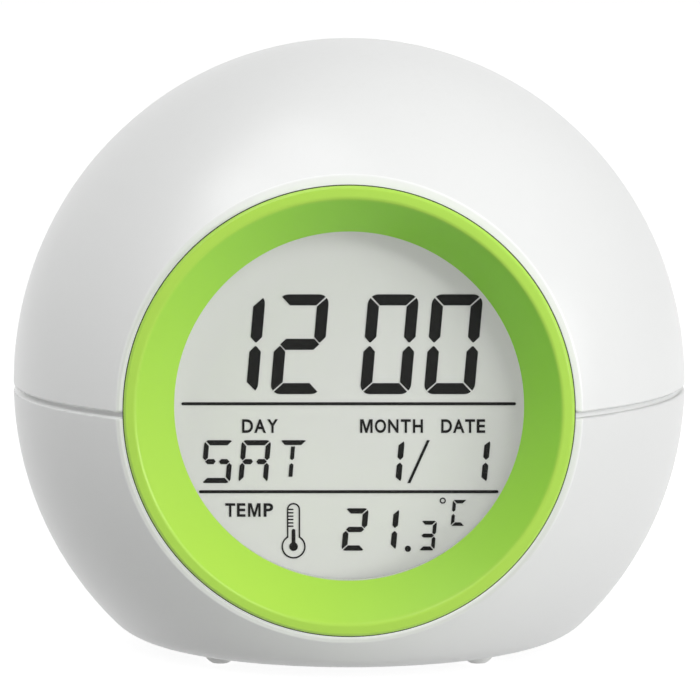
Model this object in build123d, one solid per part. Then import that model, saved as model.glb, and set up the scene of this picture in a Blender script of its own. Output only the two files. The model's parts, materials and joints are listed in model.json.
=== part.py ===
from build123d import *
from math import cos, radians, sin, sqrt, tan
import os

# Kids' alarm clock with a night light: a ball that parts at its equator. Millimetres.
# The model is laid out about the centre of the ball, with the front at -Y and right at +X.
# save() moves each piece to the part's own frame, whose origin lies under the middle of its box.

# ---- driving dimensions ------------------------------------------------------------------

# Ball
BALL_R = 45.0            # outside radius of the ball at its equator
DOME_RISE = 46.0         # top of the dome above the ball centre
BASE_DROP = 33.9         # flat underside below the ball centre
BASE_ROUND = 7.5         # rounding from the side of the base into its underside
WALL = 2.0               # wall of both shells
LAND_WIDTH = 1.98        # flat land round the opening for the bezel ring
LAND_ROUND = 0.45        # rounding of the outer edge of that land

# Seam between the dome and the base
SEAM_Z = 0.0             # lower edge of the dome
PRESS_TRAVEL = 0.5       # how far the dome presses down
SEAM_SPARE = 0.1         # gap left in the seam when the dome is down
SEAM_ROUND = 0.35        # rounding of both seam edges
TONGUE_T = 1.3           # thickness of the tongue that backs the seam
TONGUE_RISE = 2.0        # height of the tongue above the lower edge of the dome
TONGUE_STEP = 1.1        # how far the tongue lies inside the outer surface
LIP_CLEAR = 0.3          # clearance between the tongue and the dome

# Running and static clearances
RUN_CLEAR = 0.2          # round every sliding piece in its opening
FIT_CLEAR = 0.1          # round every fixed piece in its seat
SCREW_CLEAR = 0.05       # round every screw in its hole

# Bezel ring, measured in radius about its own axis
RING_Z = 0.2             # axis of the ring above the ball centre
RING_BARREL_R = 26.6     # outside of the barrel behind the flange
RING_ROOM = 0.9          # barrel to the opening, room for the dome to move down
RING_COVER = 1.12        # flange over the land
RING_CREST_INSET = 1.45  # crest, the frontmost circle, inside the edge of the flange
RING_WALL = 2.5          # wall of the barrel round the lens
RING_CREST_RISE = 1.1    # crest in front of the land
RING_EDGE_RISE = 0.6     # outer edge in front of the land
RING_EDGE_GAP = 0.15     # shadow gap between the flange and the land
RING_DEPTH = 5.8         # inner edge behind the crest
RING_LIP = 0.3           # thickness of the inner edge over the lens

# Display stack, from front to back
LENS_T = 1.0
LENS_HELD = 1.62         # lens behind the inner edge of the ring
FRAME_FACE = 1.8         # front plate of the display frame
FRAME_SETBACK = 0.42     # window of the display frame behind the inner edge of the ring
FRAME_WALL = 1.2
GLASS_T = 0.9
GLASS_COVER = 0.82       # display glass past the inner edge of the ring, each side
GLASS_CORNER = 7.0       # corner cut of the glass
GLASS_LEDGE = 2.0        # ledge with the contacts along the bottom of the front glass
INK_T = 0.1              # liquid crystal layer that shows the segments
REFLECTOR_T = 0.3
GUIDE_T = 2.5            # light guide
GUIDE_MARGIN = 1.4       # glass edge to light guide edge, room for the side lamps
GUIDE_GAP = 0.2          # light guide to main board
BOARD_T = 1.6            # every circuit board
LUG_R = 2.4              # screw lugs at the corners of the display frame
LUG_OUT = 3.2            # lug axis outside the corner cut of the glass
LUG_DEPTH = 4.0
BOARD_COVER = 1.6        # main board past the display glass, each side
BOARD_CORNER = 3.0
BOARD_BELOW = 0.7        # main board below the contact ledge of the glass
STRIP_T = 1.5            # elastomer contact strip
STRIP_LENGTH = 28.0

# Screws
SMALL_SCREW_R = 0.8
SMALL_HEAD_R = 1.4
SMALL_HEAD_H = 0.9
SCREW_R = 1.1
HEAD_R = 1.7
HEAD_H = 1.2
SCREW_BITE = 3.0         # length of thread past the piece that is held

# Deck that closes the base and reflects the night light
DECK_CLEAR = 0.6         # deck inside the tongue of the base
DECK_T = 1.6
DECK_DROP = 0.3          # top of the deck below the upper edge of the base
DECK_NOTCH_GAP = 0.8     # deck to the back of the main board
POST_R = 2.5             # screw posts of the base
POST_INSET = 4.0         # posts inside the edge of the deck
POST_ANGLES = (-12.0, 56.0)      # from +X towards the rear, mirrored to the left
SHOULDER_INSET = 3.5     # guide bosses inside the edge of the deck
SHOULDER_ANGLES = (-35.0, 35.0)  # guide bosses of the dome, mirrored to the left

# Guide bosses and springs of the dome
BOSS_R = 3.0
BOSS_Z = 4.2             # lower end of each boss
SHOULDER_R = 1.2
SHOULDER_BITE = 5.0      # shoulder screw inside its boss
WASHER_R = 2.9
WASHER_T = 0.6
SPRING_R = 2.0
SPRING_WIRE = 0.45
SPRING_TURNS = 4.5

# Night light
LIGHT_BOARD_HALF = 17.5
LIGHT_BOARD_FRONT = -12.0
LIGHT_BOARD_INSET = 1.0  # lamp board inside the edge of the deck
LAMP_SIZE = 5.0
LAMP_H = 1.5
LAMP_X = 9.0
LAMP_ROWS = (-2.0, 22.0)
LIGHT_SCREW_X = 14.0
LIGHT_SCREW_ROWS = (-8.0, 12.0)

# Push switches
SWITCH_SIZE = 6.0
SWITCH_H = 3.5
PLUNGER_R = 1.6
PLUNGER_IN = 2.0         # plunger inside its switch at rest
SNOOZE_PLUNGER = 1.2     # plunger above the snooze switch
KEY_PLUNGER = 1.4        # plunger beyond each key switch
SNOOZE_INSET = 5.7       # snooze switch inside the edge of the deck
ACTUATOR_R = 2.2

# Keys on the rear
KEY_X = (-13.5, -4.5, 4.5, 13.5)
KEY_NAMES = ("mode", "set", "up", "down")
KEY_Z = -10.8
KEY_R = 3.0
KEY_PROUD = 0.8
KEY_TRAVEL = 0.5
KEY_FLANGE = 0.75        # flange wider than the key
KEY_FLANGE_T = 0.8
KEY_BACKSET = 0.5        # flange behind the shell at its nearest corner
KEY_NOSE_R = 1.5
KEY_BOARD_SET = 15.6     # front face of the key board inside the wall
KEY_BOARD_HALF = 17.5
KEY_BOARD_LOW = -22.0
KEY_BOARD_GAP = 0.5      # key board below the deck
KEY_POST_R = 2.1
KEY_POSTS = ((0.0, -6.1), (-13.0, -18.8), (13.0, -18.8))

# Light switch on the rear
SLIDE_Z = -17.2
SLIDE_TRAVEL = 3.0
SLIDE_BODY = (9.0, 4.4, 3.6)     # width, height and depth
SLIDE_STEM = (2.0, 1.8)
SLIDE_STEM_IN = 2.4
SLIDE_PAD = (11.0, 4.6, 0.6)     # dust plate behind the slot
SLIDE_PAD_GAP = 0.4
SLIDE_KNOB = (3.2, 2.4)
SLIDE_PROUD = 1.0

# Loudspeaker, square to the ball
SPEAKER_AZIMUTH = 145.0
SPEAKER_TILT = -22.0
SPEAKER_R = 9.0
SPEAKER_RIM = 1.4
SPEAKER_RIM_T = 0.6
SPEAKER_BASKET_R = 7.4
SPEAKER_BASKET_H = 2.4
SPEAKER_BASKET_WALL = 0.5
SPEAKER_GASKET_T = 0.4   # gasket at its thinnest
CONE_T = 0.3
MAGNET_R = 4.6
MAGNET_H = 2.2
GRILLE_HOLE_R = 0.75
GRILLE_PITCH = 2.7
GRILLE_RINGS = 2

# Batteries and their door
CELL_R = 5.25
CELL_LENGTH = 44.5
CELL_NUB_R = 1.9
CELL_NUB = 0.8
CELL_COUNT = 3
CELL_PITCH = 10.9
CELL_MID_Y = 2.3
CELL_FLOOR = 1.0         # cells above the door, clear of its rails
TRAY_SIDE = 0.3          # cells to the walls of the tray
TRAY_WALL = 1.2
TRAY_HEAD = 0.3          # cells to the roof of the tray
TRAY_LIFT = 0.4          # walls of the tray above the door
CONTACT_T = 0.4
CONTACT_R = 4.0
CELL_SPRING = 4.6        # fitted length of a cell spring
CELL_SPRING_R = 2.8
CELL_SPRING_WIRE = 0.5
CELL_SPRING_TURNS = 4.0
EAR_OUT = 4.35           # screw ears outside the tray
EAR_R = 2.7
DOOR_INSET = 0.35        # sides of the door opening inside the battery bay
DOOR_TOP = -24.0         # upper edge of the door opening at the rear
DOOR_TRAVEL = 8.0
DOOR_SEAM = 0.2
RAIL_REACH = 1.2         # door rails over the edge of the opening
RAIL_ROOT = 1.8          # door rails inside the edge of the door
RAIL_LENGTH = 8.5
RAIL_T = 0.6
RAIL_GAP = 0.1

# Feet of the display frame
STAND_X = 12.0
STAND_HALF = 3.6
STAND_SET = 2.55         # screw in each foot of the frame, in front of the tray
STAND_REACH = 1.8        # foot of the frame behind that screw
STAND_T = 1.4
STAND_POST_R = 2.2

# Rubber feet
FOOT_INSET = 2.7         # feet inside the flat of the underside, on its diagonals
FOOT_R = 2.2
FOOT_H = 1.3
FOOT_FLAT_R = 1.0
FOOT_PEG_R = 0.9
FOOT_PEG = 1.2

# Small electronics
BLOB_R = 5.0
BLOB_H = 1.1
CRYSTAL_R = 1.5
CRYSTAL_LENGTH = 8.0
SENSOR_R = 1.1
CHIP = (2.0, 1.25, 0.6)  # width, height and depth of a small part
CHIP_STEP = (3.4, 3.2)
CHIP_START = (8.5, 9.0)  # first small part from the middle of the board, and below it
CHIP_GRID = (4, 2)
SIDE_LAMP = (1.0, 3.0, 1.4)

# Leads: the places of the sockets and the turns of each route, from the ball centre
LEAD_R = 0.5
LEAD_SPACING = 1.3
LEAD_EXIT = 3.5          # straight start of a lead at its socket
RIBBON_T = 0.7
RIBBON_LEADS = 6
SOCKET = (3.0, 2.8)      # height and depth of a socket
SOCKET_RIM = 0.8         # socket wider than its leads
BATTERY_SOCKET = (12.5, -16.0)
SPEAKER_SOCKET = (-13.0, -17.5)
KEY_SOCKET_Z = -15.5
LIGHT_SOCKET = (0.0, 9.0)
LIGHT_LEADS = 4
LIGHT_SOCKET_Y = -8.6
RIBBON_DIP = (4.0, -17.8)        # depth and height of the middle of the flat cable
SPEAKER_TURNS = ((-16.0, -5.0, -15.5), (-21.0, 4.5, -13.0))
TERMINAL_R = 6.0         # leads on the back of the loudspeaker, from its axis
TERMINAL_RUN = 6.0

# Display layout: sizes and centres in the plane of the display, from the ball centre
TIME_DIGIT = (6.2, 12.9, 1.5)    # width, height and stroke
TIME_LOW = 1.3
TIME_PLACES = ((-14.95, "bc"), (-6.85, "abged"), (4.75, "abcdef"), (12.85, "abcdef"))
WORD_DIGIT = (3.6, 5.5, 0.75)
WORD_LOW = -10.2
WORD_PLACES = (
    (-17.0, "afgcd"), (-12.4, "abcefg"), (-7.5, "ail"), (4.6, "bc"), (15.6, "bc"),
)
TEMP_DIGIT = (3.2, 5.4, 0.7)
TEMP_LOW = -19.0
TEMP_PLACES = ((0.6, "abged"), (4.2, "bc"))
TENTH_DIGIT = (2.2, 3.9, 0.5)
TENTH_PLACE = (10.0, "abgcd")
UNIT_DIGIT = (1.8, 3.3, 0.45)
UNIT_PLACE = (13.9, -15.8, "afed")
SEGMENT_GAP = 0.32
SLANT = 5.0              # lean of the digits, in degrees
RULE_T = 0.36
RULES = ((0.02, 21.4), (-11.4, 19.2))    # height and half length
POINT_R = 0.38
POINT_PLACE = (7.6, -18.7)
DEGREE_R = 0.42
DEGREE_PLACE = (12.05, -12.5)
BULB_R = 1.45
BULB_PLACE = (-7.1, -18.5)
STEM_R = 0.8
STEM_TOP = -12.9
MERCURY_R = 0.3
MERCURY_TOP = -16.2

# ---- places worked out from them ---------------------------------------------------------

INNER_R = BALL_R - WALL
SHELL_HOLE_R = RING_BARREL_R + RING_ROOM
RING_EDGE_R = SHELL_HOLE_R + RING_COVER
RING_CREST_R = RING_EDGE_R - RING_CREST_INSET
LENS_R = RING_BARREL_R - RING_WALL - FIT_CLEAR
RING_WINDOW_R = LENS_R - LENS_HELD
FRAME_WINDOW_R = RING_WINDOW_R + FRAME_SETBACK
GLASS_HALF = RING_WINDOW_R + GLASS_COVER
BOARD_HALF = GLASS_HALF + BOARD_COVER
BOARD_LOW = GLASS_HALF + GLASS_LEDGE + BOARD_BELOW
FRONT_CUT = sqrt(BALL_R ** 2 - (SHELL_HOLE_R + LAND_WIDTH) ** 2)
BASE_TOP = SEAM_Z - PRESS_TRAVEL - SEAM_SPARE
FLOOR_Z = WALL - BASE_DROP
FLAT_R = sqrt((BALL_R - BASE_ROUND) ** 2 - (BASE_DROP - BASE_ROUND) ** 2)
TONGUE_OUT = BALL_R - TONGUE_STEP
TONGUE_TOP = SEAM_Z + TONGUE_RISE
REBATE_R = TONGUE_OUT + LIP_CLEAR
DECK_R = TONGUE_OUT - TONGUE_T - DECK_CLEAR
POST_CIRCLE = DECK_R - POST_INSET
SHOULDER_CIRCLE = DECK_R - SHOULDER_INSET
LIGHT_BOARD_R = DECK_R - LIGHT_BOARD_INSET
SNOOZE_Y = DECK_R - SNOOZE_INSET
FOOT_X = (FLAT_R - FOOT_INSET) * sin(radians(45))
FOOT_Y = FOOT_X
REBATE_TOP = TONGUE_TOP + PRESS_TRAVEL + LIP_CLEAR

LAND_Y = -FRONT_CUT
CREST_Y = LAND_Y - RING_CREST_RISE
WINDOW_Y = CREST_Y + RING_DEPTH
LENS_Y = WINDOW_Y + RING_LIP
FRAME_Y = LENS_Y + LENS_T
GLASS_Y = FRAME_Y + FRAME_FACE
INK_Y = GLASS_Y + GLASS_T
REAR_GLASS_Y = INK_Y + INK_T
REFLECTOR_Y = REAR_GLASS_Y + GLASS_T
GUIDE_Y = REFLECTOR_Y + REFLECTOR_T
BOARD_Y = GUIDE_Y + GUIDE_T + GUIDE_GAP
BOARD_BACK = BOARD_Y + BOARD_T
FRAME_SCREW_R = (LENS_R + FIT_CLEAR + RING_BARREL_R) / 2

DECK_Z = BASE_TOP - DECK_DROP
DECK_LOW = DECK_Z - DECK_T
LIGHT_Z = DECK_Z + BOARD_T
SNOOZE_TOP = LIGHT_Z + SWITCH_H + SNOOZE_PLUNGER

KEY_BOARD_Y = INNER_R - KEY_BOARD_SET
KEY_SWITCH_Y = KEY_BOARD_Y + BOARD_T
PLUNGER_Y = KEY_SWITCH_Y + SWITCH_H + KEY_PLUNGER
KEY_BOARD_TOP = DECK_LOW - KEY_BOARD_GAP

CELL_Z = FLOOR_Z + CELL_FLOOR + CELL_R
CELL_ROWS = [CELL_MID_Y + (i - (CELL_COUNT - 1) / 2) * CELL_PITCH for i in range(CELL_COUNT)]
BAY_HALF = (CELL_LENGTH + CELL_SPRING) / 2 + CONTACT_T
BAY_FRONT = CELL_ROWS[0] - CELL_R - TRAY_SIDE
BAY_REAR = CELL_ROWS[-1] + CELL_R + TRAY_SIDE
BAY_TOP = CELL_Z + CELL_R + TRAY_HEAD
TRAY_TOP = BAY_TOP + TRAY_WALL
TRAY_HALF = BAY_HALF + TRAY_WALL
EAR_X = TRAY_HALF + EAR_OUT
DOOR_HALF = BAY_HALF - DOOR_INSET
STAND_Y = BAY_FRONT - TRAY_WALL - STAND_SET
BAY_LEAD_X = BAY_HALF - LEAD_R - SCREW_CLEAR
STAND_TOP = RING_Z - GLASS_HALF - GLASS_LEDGE - FRAME_WALL
STAND_BACK = STAND_Y + STAND_REACH

BOX_FRONT = CREST_Y
BALL_Y = -(BALL_R + BOX_FRONT) / 2
BALL_Z = BASE_DROP + FOOT_H


# ---- helpers -----------------------------------------------------------------------------

def slab(x_low, x_high, y_low, y_high, z_low, z_high):
    """Box between two corners."""
    middle = Pos((x_low + x_high) / 2, (y_low + y_high) / 2, (z_low + z_high) / 2)
    return middle * Box(x_high - x_low, y_high - y_low, z_high - z_low)


def upright(radius, low, high, x=0.0, y=0.0):
    """Cylinder along Z."""
    return Pos(x, y, (low + high) / 2) * Cylinder(radius, high - low)


def level(radius, front, back, x=0.0, z=0.0):
    """Cylinder along Y."""
    return Pos(x, (front + back) / 2, z) * Rot(90, 0, 0) * Cylinder(radius, back - front)


def spun(outline):
    """Solid of revolution about Z from an outline in the XZ plane."""
    return revolve(outline, Axis.Z)


def rounded(face, x, z, radius):
    """Rounds the corner of an XZ outline that lies nearest to (x, z)."""
    corner = face.vertices().sort_by_distance((x, 0, z))[0]
    return fillet(corner, radius)


def plate(outline, front, back):
    """Extrudes an outline, drawn as seen from the front, between two depths."""
    return Pos(0, back, 0) * extrude(Plane.XZ * outline, back - front, dir=(0, -1, 0))


def mirrored(places):
    """The given (x, y) places and their mirror images to the left."""
    return [(side * x, y) for x, y in places for side in (1, -1)]


def on_circle(radius, angles):
    return [(radius * cos(radians(a)), radius * sin(radians(a))) for a in angles]


def depth_inside(radius, x, z):
    """How far behind the ball centre a sphere lies at x and z."""
    return sqrt(radius ** 2 - x ** 2 - z ** 2)


def screw_down(x, y, seat, bite, radius, head_r, head_h):
    """Pan-head screw with its head above the seat and its thread below."""
    shank = upright(radius, seat - bite, seat, x, y)
    head = upright(head_r, seat, seat + head_h, x, y)
    slot = slab(x - head_r * 0.7, x + head_r * 0.7, y - 0.2, y + 0.2,
                seat + head_h / 2, seat + head_h + 1)
    return shank + head - slot


def screw_level(x, z, seat, tip, radius, head_r, head_h):
    """Screw along Y whose head lies beyond the seat, on the side away from the tip."""
    side = 1 if seat > tip else -1
    head_end = seat + side * head_h
    shank = level(radius, min(seat, tip), max(seat, tip), x, z)
    head = level(head_r, min(seat, head_end), max(seat, head_end), x, z)
    slot_front = min(head_end - side * head_h / 2, head_end + side)
    slot = slab(x - head_r * 0.7, x + head_r * 0.7, slot_front, slot_front + head_h / 2 + 1,
                z - 0.2, z + 0.2)
    return shank + head - slot


def coil(radius, wire, length, turns):
    """Helical spring that stands on z = 0."""
    rise = length - wire
    path = Helix(rise / turns, rise, radius)
    section = Plane(origin=path @ 0, z_dir=path % 0) * Circle(wire / 2)
    return Pos(0, 0, wire / 2) * sweep(section, path=path, is_frenet=True)


def octagon(half, high, low, corner_high, corner_low):
    """Cut-corner rectangle about the ring axis, from low (negative) to high."""
    return Pos(0, RING_Z) * Polygon(
        (-half, low + corner_low), (-half + corner_low, low), (half - corner_low, low),
        (half, low + corner_low), (half, high - corner_high), (half - corner_high, high),
        (-half + corner_high, high), (-half, high - corner_high), align=None,
    )


def joined(pieces):
    """One node from several separate solids."""
    return Compound(children=[solid for piece in pieces for solid in piece.solids()])


# ---- shells ------------------------------------------------------------------------------

def dome_profile():
    outer = Plane.XZ * Ellipse(BALL_R, DOME_RISE)
    inner = Plane.XZ * Ellipse(INNER_R, DOME_RISE - WALL)
    half = slab(0, 2 * BALL_R, -1, 1, SEAM_Z, 2 * BALL_R)
    rebate = slab(-1, REBATE_R, -1, 1, SEAM_Z - 1, REBATE_TOP)
    face = (outer - inner) & half
    face = face - rebate
    return rounded(face, BALL_R, SEAM_Z, SEAM_ROUND)


def base_section(radius, drop, rounding, top):
    """Half outline of a ball with a flat, rounded underside."""
    face = (Plane.XZ * Circle(radius)) & slab(0, 2 * radius, -1, 1, -drop, top)
    corner = sqrt(radius ** 2 - drop ** 2)
    return rounded(face, corner, -drop, rounding)


def land_rim(shell):
    """Long outer edge of the land."""
    middle = Vector(0, LAND_Y, RING_Z)
    on_land = shell.edges().filter_by_position(Axis.Y, LAND_Y - 0.01, LAND_Y + 0.01)
    return [edge for edge in on_land if edge.length > SHELL_HOLE_R
            and (edge @ 0.5 - middle).length > SHELL_HOLE_R + LAND_ROUND]


def cut_front(shell):
    """Front land of a shell and the round opening for the bezel ring."""
    reach = 2 * BALL_R
    shell = shell - slab(-reach, reach, LAND_Y - reach, LAND_Y, -reach, reach)
    shell = shell - level(SHELL_HOLE_R, LAND_Y - 1, 0, 0, RING_Z)
    return fillet(land_rim(shell), LAND_ROUND)


def shoulder_places():
    return mirrored(on_circle(SHOULDER_CIRCLE, SHOULDER_ANGLES))


def make_dome_shell():
    """Translucent pressing dome with guide bosses and the snooze actuator."""
    shell = cut_front(spun(dome_profile()))
    fill = spun((Plane.XZ * Ellipse(BALL_R - WALL / 2, DOME_RISE - WALL / 2))
                & slab(0, 2 * BALL_R, -1, 1, SEAM_Z, 2 * BALL_R))
    for x, y in shoulder_places():
        shell = shell + (upright(BOSS_R, BOSS_Z, DOME_RISE, x, y) & fill)
        shell = shell - upright(SHOULDER_R + SCREW_CLEAR, BOSS_Z - 1,
                                BOSS_Z + SHOULDER_BITE, x, y)
    shell = shell + (upright(ACTUATOR_R, SNOOZE_TOP, DOME_RISE, 0, SNOOZE_Y) & fill)
    return shell


def post_places():
    return mirrored(on_circle(POST_CIRCLE, POST_ANGLES))


def key_flange_y(x):
    """Back of a key's flange, clear of the shell at its farthest corner."""
    corner_x = abs(x) + KEY_R + KEY_FLANGE
    corner_z = KEY_Z - KEY_R - KEY_FLANGE
    return depth_inside(INNER_R, corner_x, corner_z) - KEY_BACKSET


def speaker_plane(distance):
    """Plane square to the loudspeaker's axis at a distance from the ball centre."""
    tilt = radians(SPEAKER_TILT)
    turn = radians(SPEAKER_AZIMUTH)
    axis = Vector(cos(turn) * cos(tilt), sin(turn) * cos(tilt), sin(tilt))
    return Plane(origin=axis * distance, x_dir=(sin(turn), -cos(turn), 0), z_dir=axis)


def disc(radius, near, far):
    """Cylinder on the loudspeaker's axis between two distances."""
    return speaker_plane(near) * extrude(Circle(radius), far - near)


def grille_places():
    """Hexagonal rings of holes round one in the middle."""
    places = [(0.0, 0.0)]
    for ring in range(1, GRILLE_RINGS + 1):
        for i in range(6 * ring):
            turn = radians(60.0 / ring * i)
            places.append((ring * GRILLE_PITCH * cos(turn), ring * GRILLE_PITCH * sin(turn)))
    return places


def make_grille():
    holes = [Pos(x, y) * Circle(GRILLE_HOLE_R) for x, y in grille_places()]
    return extrude(speaker_plane(INNER_R - 2 * WALL) * Sketch(children=holes), 5 * WALL)


def door_zone(clear):
    """Everything that the battery door may fill, shrunk by the clearance."""
    return slab(-DOOR_HALF + clear, DOOR_HALF - clear, BAY_FRONT + clear, 2 * BALL_R,
                -2 * BALL_R, DOOR_TOP - clear)


def base_wall():
    """Bare wall of the base, before any opening."""
    outer = base_section(BALL_R, BASE_DROP, BASE_ROUND, BASE_TOP)
    outer = rounded(outer, BALL_R, BASE_TOP, SEAM_ROUND)
    inner = base_section(INNER_R, BASE_DROP - WALL, BASE_ROUND - WALL, BALL_R / 2)
    tongue_root = BASE_TOP - TONGUE_T
    tongue = slab(TONGUE_OUT - TONGUE_T, TONGUE_OUT, -1, 1, tongue_root, TONGUE_TOP)
    tongue = (Plane.XZ * Circle(2 * BALL_R)) & tongue
    return spun(outer) - spun(inner) + spun(tongue)


def base_inside():
    """Solid that fills the base up to the middle of its wall, to trim posts with."""
    return spun(base_section(BALL_R - WALL / 2, BASE_DROP - WALL / 2,
                             BASE_ROUND - WALL / 2, BASE_TOP))


def make_base_shell():
    """Lower half of the ball with the openings and the screw posts."""
    shell = cut_front(base_wall())
    fill = base_inside()
    for x, y in post_places():
        shell = shell + (upright(POST_R, -BASE_DROP, DECK_LOW, x, y) & fill)
        shell = shell - upright(SCREW_R + SCREW_CLEAR, DECK_LOW - SCREW_BITE - 0.5,
                                DECK_LOW + 1, x, y)
    ear_z = TRAY_TOP - TRAY_WALL
    for x in (-EAR_X, EAR_X):
        shell = shell + (upright(POST_R, -BASE_DROP, ear_z, x, CELL_MID_Y) & fill)
        shell = shell - upright(SCREW_R + SCREW_CLEAR, ear_z - SCREW_BITE - 0.5,
                                ear_z + 1, x, CELL_MID_Y)
    for x in (-STAND_X, STAND_X):
        shell = shell + (upright(STAND_POST_R, -BASE_DROP, STAND_TOP - STAND_T, x, STAND_Y)
                         & fill)
        shell = shell - upright(SCREW_R + SCREW_CLEAR, STAND_TOP - STAND_T - SCREW_BITE - 0.5,
                                STAND_TOP, x, STAND_Y)
    for x, z in KEY_POSTS:
        shell = shell + (level(KEY_POST_R, KEY_SWITCH_Y, BALL_R, x, z) & fill)
        shell = shell - level(SMALL_SCREW_R + SCREW_CLEAR, KEY_SWITCH_Y - 1,
                              KEY_SWITCH_Y + SCREW_BITE + 0.5, x, z)
    for x in KEY_X:
        shell = shell - level(KEY_R + RUN_CLEAR, KEY_BOARD_Y, 2 * BALL_R, x, KEY_Z)
    slot_half = (SLIDE_TRAVEL + SLIDE_KNOB[0]) / 2 + RUN_CLEAR
    slot_rise = SLIDE_KNOB[1] / 2 + RUN_CLEAR
    shell = shell - slab(-slot_half, slot_half, KEY_SWITCH_Y, 2 * BALL_R,
                         SLIDE_Z - slot_rise, SLIDE_Z + slot_rise)
    shell = shell - make_grille()
    shell = shell - door_zone(0)
    for x in (-FOOT_X, FOOT_X):
        shell = shell - upright(FOOT_PEG_R + SCREW_CLEAR, -BASE_DROP - 1,
                                -BASE_DROP + FOOT_PEG + FIT_CLEAR, x, -FOOT_Y)
    return shell


def make_battery_door():
    """Piece of the base wall that slides off to the rear on two rails."""
    door = base_wall() & door_zone(DOOR_SEAM)
    rail_z = FLOOR_Z + RAIL_GAP
    for side in (-1, 1):
        edge = DOOR_HALF - DOOR_SEAM
        inner, outer = sorted((side * (edge - RAIL_ROOT), side * (edge + RAIL_REACH)))
        door = door + slab(inner, outer, -RAIL_LENGTH, 0, rail_z, rail_z + RAIL_T)
        inner, outer = sorted((side * (edge - RAIL_ROOT), side * edge))
        door = door + slab(inner, outer, -RAIL_LENGTH, 0, FLOOR_Z - WALL / 2, rail_z + RAIL_T)
        door = door - upright(FOOT_PEG_R + SCREW_CLEAR, -BASE_DROP - 1,
                              -BASE_DROP + FOOT_PEG + FIT_CLEAR, side * FOOT_X, FOOT_Y)
    return door


def make_feet(y):
    """Pair of rubber feet pegged into the underside."""
    low = -BASE_DROP - FOOT_H
    feet = []
    for x in (-FOOT_X, FOOT_X):
        profile = Plane.XZ * make_face(
            Polyline((0, low), (FOOT_FLAT_R, low))
            + ThreePointArc((FOOT_FLAT_R, low), (FOOT_R * 0.82, low + FOOT_H * 0.42),
                            (FOOT_R, -BASE_DROP))
            + Polyline((FOOT_R, -BASE_DROP), (0, -BASE_DROP), (0, low))
        )
        foot = Pos(x, y, 0) * revolve(profile, Axis.Z)
        feet.append(foot + upright(FOOT_PEG_R, -BASE_DROP, -BASE_DROP + FOOT_PEG, x, y))
    return joined(feet)


# ---- bezel and display -------------------------------------------------------------------

def make_bezel_ring():
    """Coloured funnel ring whose barrel holds the lens."""
    edge_y = LAND_Y - RING_EDGE_RISE
    seat_r = LENS_R + FIT_CLEAR
    profile = Polygon(
        (RING_WINDOW_R, WINDOW_Y), (RING_CREST_R, CREST_Y), (RING_EDGE_R, edge_y),
        (RING_EDGE_R, LAND_Y - RING_EDGE_GAP), (RING_BARREL_R, LAND_Y - RING_EDGE_GAP),
        (RING_BARREL_R, FRAME_Y), (seat_r, FRAME_Y), (seat_r, LENS_Y), (RING_WINDOW_R, LENS_Y),
        align=None,
    )
    ring = Pos(0, 0, RING_Z) * revolve(Plane.XY * profile, Axis.Y)
    for x, z in ring_screw_places():
        ring = ring - level(SMALL_SCREW_R + SCREW_CLEAR, FRAME_Y - SCREW_BITE - FIT_CLEAR,
                            FRAME_Y + 1, x, z)
    return ring


def ring_screw_places():
    return [(FRAME_SCREW_R * cos(radians(a)), RING_Z + FRAME_SCREW_R * sin(radians(a)))
            for a in (45, 135, 225, 315)]


def make_window_lens():
    return level(LENS_R, LENS_Y, FRAME_Y, 0, RING_Z)


def glass_outline(grow=0.0, ledge=GLASS_LEDGE):
    """Outline of the display glass, grown all round."""
    half = GLASS_HALF + grow
    corner = GLASS_CORNER + grow * (2 - sqrt(2))
    return octagon(half, half, -half - ledge, corner, corner)


def lug_places():
    """Screw lugs on the diagonals, outside the corner cuts of the glass."""
    inset = GLASS_HALF - GLASS_CORNER / 2
    out = LUG_OUT / sqrt(2)
    return [(side * (inset + out), RING_Z + z)
            for z in (inset + out, -(inset + GLASS_LEDGE + out)) for side in (-1, 1)]


def make_display_frame():
    """Tray that holds the glass against the ring and stands on the base."""
    frame = plate(glass_outline(FIT_CLEAR + FRAME_WALL), FRAME_Y, BOARD_Y)
    for x, z in lug_places():
        frame = frame + level(LUG_R, BOARD_Y - LUG_DEPTH, BOARD_Y, x, z)
    frame = frame - plate(glass_outline(FIT_CLEAR), GLASS_Y, BOARD_Y + 1)
    frame = frame - level(FRAME_WINDOW_R, FRAME_Y - 1, GLASS_Y + 1, 0, RING_Z)
    for x, z in ring_screw_places():
        frame = frame - level(SMALL_SCREW_R + SCREW_CLEAR, FRAME_Y - 1, GLASS_Y, x, z)
        frame = frame - level(SMALL_HEAD_R + FIT_CLEAR, GLASS_Y - SMALL_HEAD_H, GLASS_Y, x, z)
    for x, z in lug_places():
        frame = frame - level(SMALL_SCREW_R + SCREW_CLEAR, BOARD_Y - SCREW_BITE - FIT_CLEAR,
                              BOARD_Y + 1, x, z)
    for x in (-STAND_X, STAND_X):
        foot = slab(x - STAND_HALF, x + STAND_HALF, FRAME_Y, STAND_BACK,
                    STAND_TOP - STAND_T, STAND_TOP)
        frame = frame + foot - upright(SCREW_R + SCREW_CLEAR, STAND_TOP - STAND_T - 1,
                                       STAND_TOP + 1, x, STAND_Y)
    return frame


def make_bezel_screws():
    seat = GLASS_Y - SMALL_HEAD_H
    return joined(screw_level(x, z, seat, FRAME_Y - SCREW_BITE, SMALL_SCREW_R, SMALL_HEAD_R,
                              SMALL_HEAD_H) for x, z in ring_screw_places())


def make_board_screws():
    return joined(screw_level(x, z, BOARD_BACK, BOARD_Y - SCREW_BITE, SMALL_SCREW_R,
                              SMALL_HEAD_R, SMALL_HEAD_H) for x, z in lug_places())


def make_front_glass():
    return plate(glass_outline(), GLASS_Y, INK_Y)


def make_rear_glass():
    return plate(glass_outline(0, 0), REAR_GLASS_Y, REFLECTOR_Y)


def make_reflector():
    return plate(glass_outline(-FIT_CLEAR, 0), REFLECTOR_Y, GUIDE_Y)


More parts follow.
